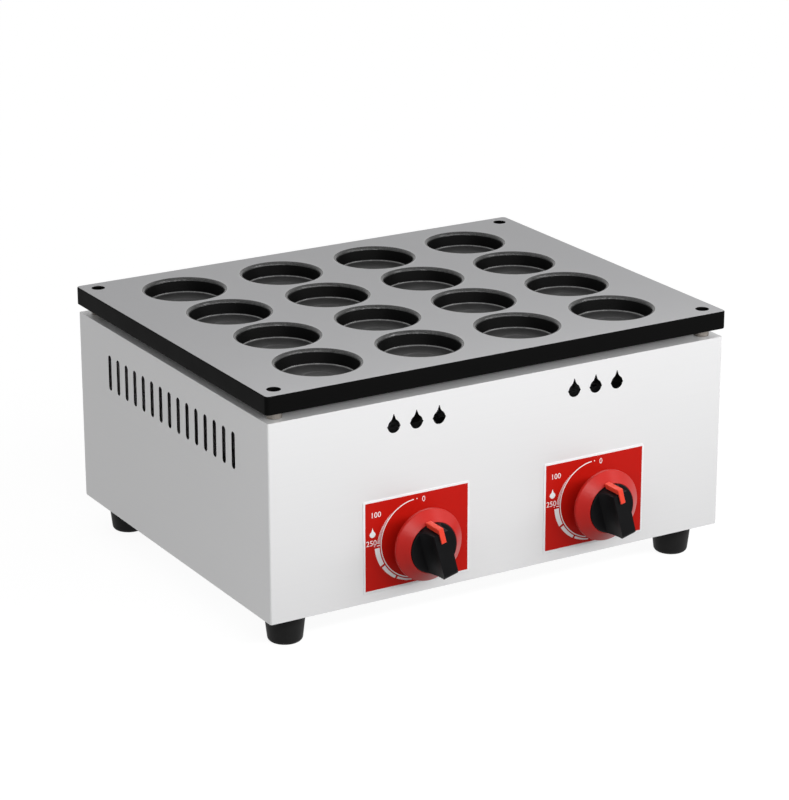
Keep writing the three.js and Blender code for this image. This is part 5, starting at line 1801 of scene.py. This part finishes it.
class MAKER_OT_ignition(bpy.types.Operator):
    """Builds the spark electrodes and their leads"""

    bl_idname = "maker.ignition"
    bl_label = "Ignition"

    def execute(self, context):
        sizes = context.scene.maker_gas
        tree = sleeve_tree()
        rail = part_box("burner_rail_front")[1].z
        for side in SIDES:
            node = f"igniter_electrode_{side}"
            low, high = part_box(node)
            spot = middle(node)
            centre = (spot.x, spot.y)
            shoulder, edge = high.z - sizes.tip_length, ROUND_EDGE
            corners = [
                (0, low.z, 0),
                (sizes.electrode, low.z, edge),
                (sizes.electrode, rail, 0),
                (sizes.electrode_collar, rail, edge),
                (sizes.electrode_collar, rail + sizes.bell_face, edge),
                (sizes.electrode, rail + sizes.bell_face, 0),
                (sizes.electrode, shoulder, edge),
                (0, shoulder, 0),
            ]
            body = painted(turned(rounded(corners, 3), centre), "ceramic")
            tip = rod("Z", sizes.electrode_tip, shoulder - OVERRUN, high.z, centre, ROUND_SMALL, THIN_EDGE)
            piece(node, gathered([body, painted(tip, "bright_steel")]))
            self.lead(sizes, side, tree, spot, low.z)
        return {"FINISHED"}

    def lead(self, sizes, side, tree, spot, bottom):
        """The lead from the striker's terminal to the electrode's lower end."""
        x, z = control_centre(side)
        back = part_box(f"ignition_lead_{side}")[0].y
        start = Vector((x, back, z + sizes.striker_rise))
        end = Vector((spot.x, spot.y, bottom - FIT_GAP))
        straight = 4 * sizes.lead
        halfway = (start + end) / 2
        halfway.z = start.z + straight / 2
        route = [start, start + Vector((0, straight, 0)), halfway, end - Vector((0, 0, straight)), end]
        points = threaded(route, PATH_STEPS)
        edges = [(i, i + 1) for i in range(len(points) - 1)]
        values = {"Radius": sizes.lead, "Sides": ROUND_LEAD, "Material": finish("lead_sleeve")}
        mesh = run_tree(tree, values, mesh=plain_mesh(points, edges=edges))
        piece(f"ignition_lead_{side}", cleaned(mesh))


def threaded(points, steps):
    """A smooth path through points, whose bends stay close to them."""
    ends = [2 * points[0] - points[1], *points, 2 * points[-1] - points[-2]]
    path = []
    for i in range(1, len(ends) - 2):
        four = ends[i - 1 : i + 3]
        knots = [0.0]
        for first, second in zip(four, four[1:]):
            knots.append(knots[-1] + math.sqrt((second - first).length))
        for step in range(steps):
            t = knots[1] + (knots[2] - knots[1]) * step / steps
            level = four
            for low, high in ((0, 1), (0, 2), (1, 2)):
                spans = [(knots[j + low], knots[j + high]) for j in range(len(level) - 1)]
                level = [a.lerp(b, (t - k) / (m - k)) for a, b, (k, m) in zip(level, level[1:], spans)]
            path.append(level[0])
    return [*path, points[-1]]


class MAKER_OT_stage(bpy.types.Operator):
    """Sets the floor, the light and the camera"""

    bl_idname = "maker.stage"
    bl_label = "Stage"

    def execute(self, context):
        settings = context.scene.maker_studio
        scene = context.scene
        scene.view_settings.view_transform = "Standard"
        self.floor(settings)
        self.sky(settings)
        self.sun(settings)
        self.strip(settings)
        self.camera(settings)
        return {"FINISHED"}

    def seen(self, graph):
        """1 for rays from the camera, a gloss or a glass, and 0 for light on the object."""
        rays = graph.node("ShaderNodeLightPath")
        total = rays + rays.output("Is Glossy Ray") + rays.output("Is Transmission Ray")
        return total.within(0.0, 1.0)

    def floor(self, settings):
        reach = settings.floor_reach
        corners = [(-reach, -reach, 0), (reach, -reach, 0), (reach, reach, 0), (-reach, reach, 0)]
        floor = placed("floor", plain_mesh(corners, [(0, 1, 2, 3)]))
        material = bpy.data.materials.new("floor")
        material.use_nodes = True
        graph = Graph(material.node_tree)
        pale = (settings.floor, settings.floor, settings.floor, 1.0)
        matt = graph.node("ShaderNodeBsdfDiffuse", {}, {"Color": pale})
        fall = settings.sky + settings.sun * math.sin(settings.sun_height) / math.pi
        glow = self.seen(graph) * (1 - settings.floor * fall)
        lift = graph.node("ShaderNodeEmission", {}, {"Strength": glow})
        both = graph.node("ShaderNodeAddShader", {}, {0: matt, 1: lift})
        graph.node("ShaderNodeOutputMaterial", {}, {"Surface": both})
        floor.data.materials.append(material)

    def sky(self, settings):
        world = bpy.data.worlds.new("studio")
        world.use_nodes = True
        graph = Graph(world.node_tree)
        dim = graph.node("ShaderNodeBackground", {}, {"Color": (1, 1, 1, 1), "Strength": settings.sky})
        white = graph.node("ShaderNodeBackground", {}, {"Color": (1, 1, 1, 1), "Strength": 1.0})
        mix = graph.node("ShaderNodeMixShader", {}, {0: self.seen(graph), 1: dim, 2: white})
        graph.node("ShaderNodeOutputWorld", {}, {"Surface": mix})
        bpy.context.scene.world = world

    def sun(self, settings):
        lamp = bpy.data.lights.new("main lamp", "SUN")
        lamp.energy = settings.sun
        lamp.angle = settings.sun_spread
        obj = placed("main lamp", lamp)
        height, turn = settings.sun_height, settings.sun_turn
        towards = Vector(
            (math.sin(turn) * math.cos(height), -math.cos(turn) * math.cos(height), math.sin(height))
        )
        obj.rotation_euler = towards.to_track_quat("Z", "Y").to_euler()

    def strip(self, settings):
        """A wide soft lamp in front, which the camera looks through."""
        lamp = bpy.data.lights.new("strip lamp", "AREA")
        lamp.shape = "RECTANGLE"
        lamp.size = settings.strip_width
        lamp.size_y = settings.strip_height
        lamp.energy = settings.strip
        obj = placed("strip lamp", lamp)
        obj.visible_camera = False
        obj.location = settings.strip_place
        aim = Vector((settings.strip_place[0], FRONT, SHELL_HIGH.z / 2))
        obj.rotation_euler = (Vector(settings.strip_place) - aim).to_track_quat("Z", "Y").to_euler()

    def camera(self, settings):
        camera = bpy.data.cameras.new("camera")
        camera.lens = settings.lens
        camera.clip_end = 3 * settings.floor_reach
        obj = placed("camera", camera)
        turn, drop = settings.azimuth, settings.elevation
        ahead = Vector((math.sin(turn) * math.cos(drop), math.cos(turn) * math.cos(drop), -math.sin(drop)))
        right = ahead.cross(Vector((0, 0, 1))).normalized()
        up = right.cross(ahead)
        lean = Matrix.Rotation(settings.roll, 3, -ahead)
        axes = Matrix((lean @ right, lean @ up, -ahead)).transposed()
        obj.matrix_world = Matrix.Translation(settings.camera_place) @ axes.to_4x4()
        bpy.context.scene.camera = obj


OPERATORS = (
    MAKER_OT_housing,
    MAKER_OT_rear_panel,
    MAKER_OT_base_pan,
    MAKER_OT_mould_plate,
    MAKER_OT_mountings,
    MAKER_OT_feet,
    MAKER_OT_small_screws,
    MAKER_OT_dials,
    MAKER_OT_knobs,
    MAKER_OT_stems,
    MAKER_OT_valves,
    MAKER_OT_burners,
    MAKER_OT_gas_pipes,
    MAKER_OT_supports,
    MAKER_OT_ignition,
    MAKER_OT_stage,
)


class MAKER_PT_pieces(bpy.types.Panel):
    """Lists the pieces"""

    bl_idname = "MAKER_PT_pieces"
    bl_label = "Burger maker"
    bl_space_type = "VIEW_3D"
    bl_region_type = "UI"
    bl_category = "Burger maker"

    def draw(self, context):
        for operator in OPERATORS:
            self.layout.operator(operator.bl_idname)
        for name in GROUPS:
            box = self.layout.box()
            settings = getattr(context.scene, name)
            for key in settings.__annotations__:
                box.prop(settings, key)


def register():
    for group in GROUPS.values():
        bpy.utils.register_class(group)
    for name, group in GROUPS.items():
        setattr(bpy.types.Scene, name, PointerProperty(type=group))
    for operator in (*OPERATORS, MAKER_PT_pieces):
        bpy.utils.register_class(operator)


def unregister():
    for operator in reversed((*OPERATORS, MAKER_PT_pieces)):
        bpy.utils.unregister_class(operator)
    for name in GROUPS:
        delattr(bpy.types.Scene, name)
    for group in reversed(GROUPS.values()):
        bpy.utils.unregister_class(group)


def main():
    """Builds every piece in order."""
    register()
    for operator in OPERATORS:
        group, name = operator.bl_idname.split(".")
        getattr(getattr(bpy.ops, group), name)()
    for node, obj in frame["nodes"].items():
        if not obj.hide_render:
            painted(obj.data, NODE_SLOT[node])


if __name__ == "__main__":
    main()
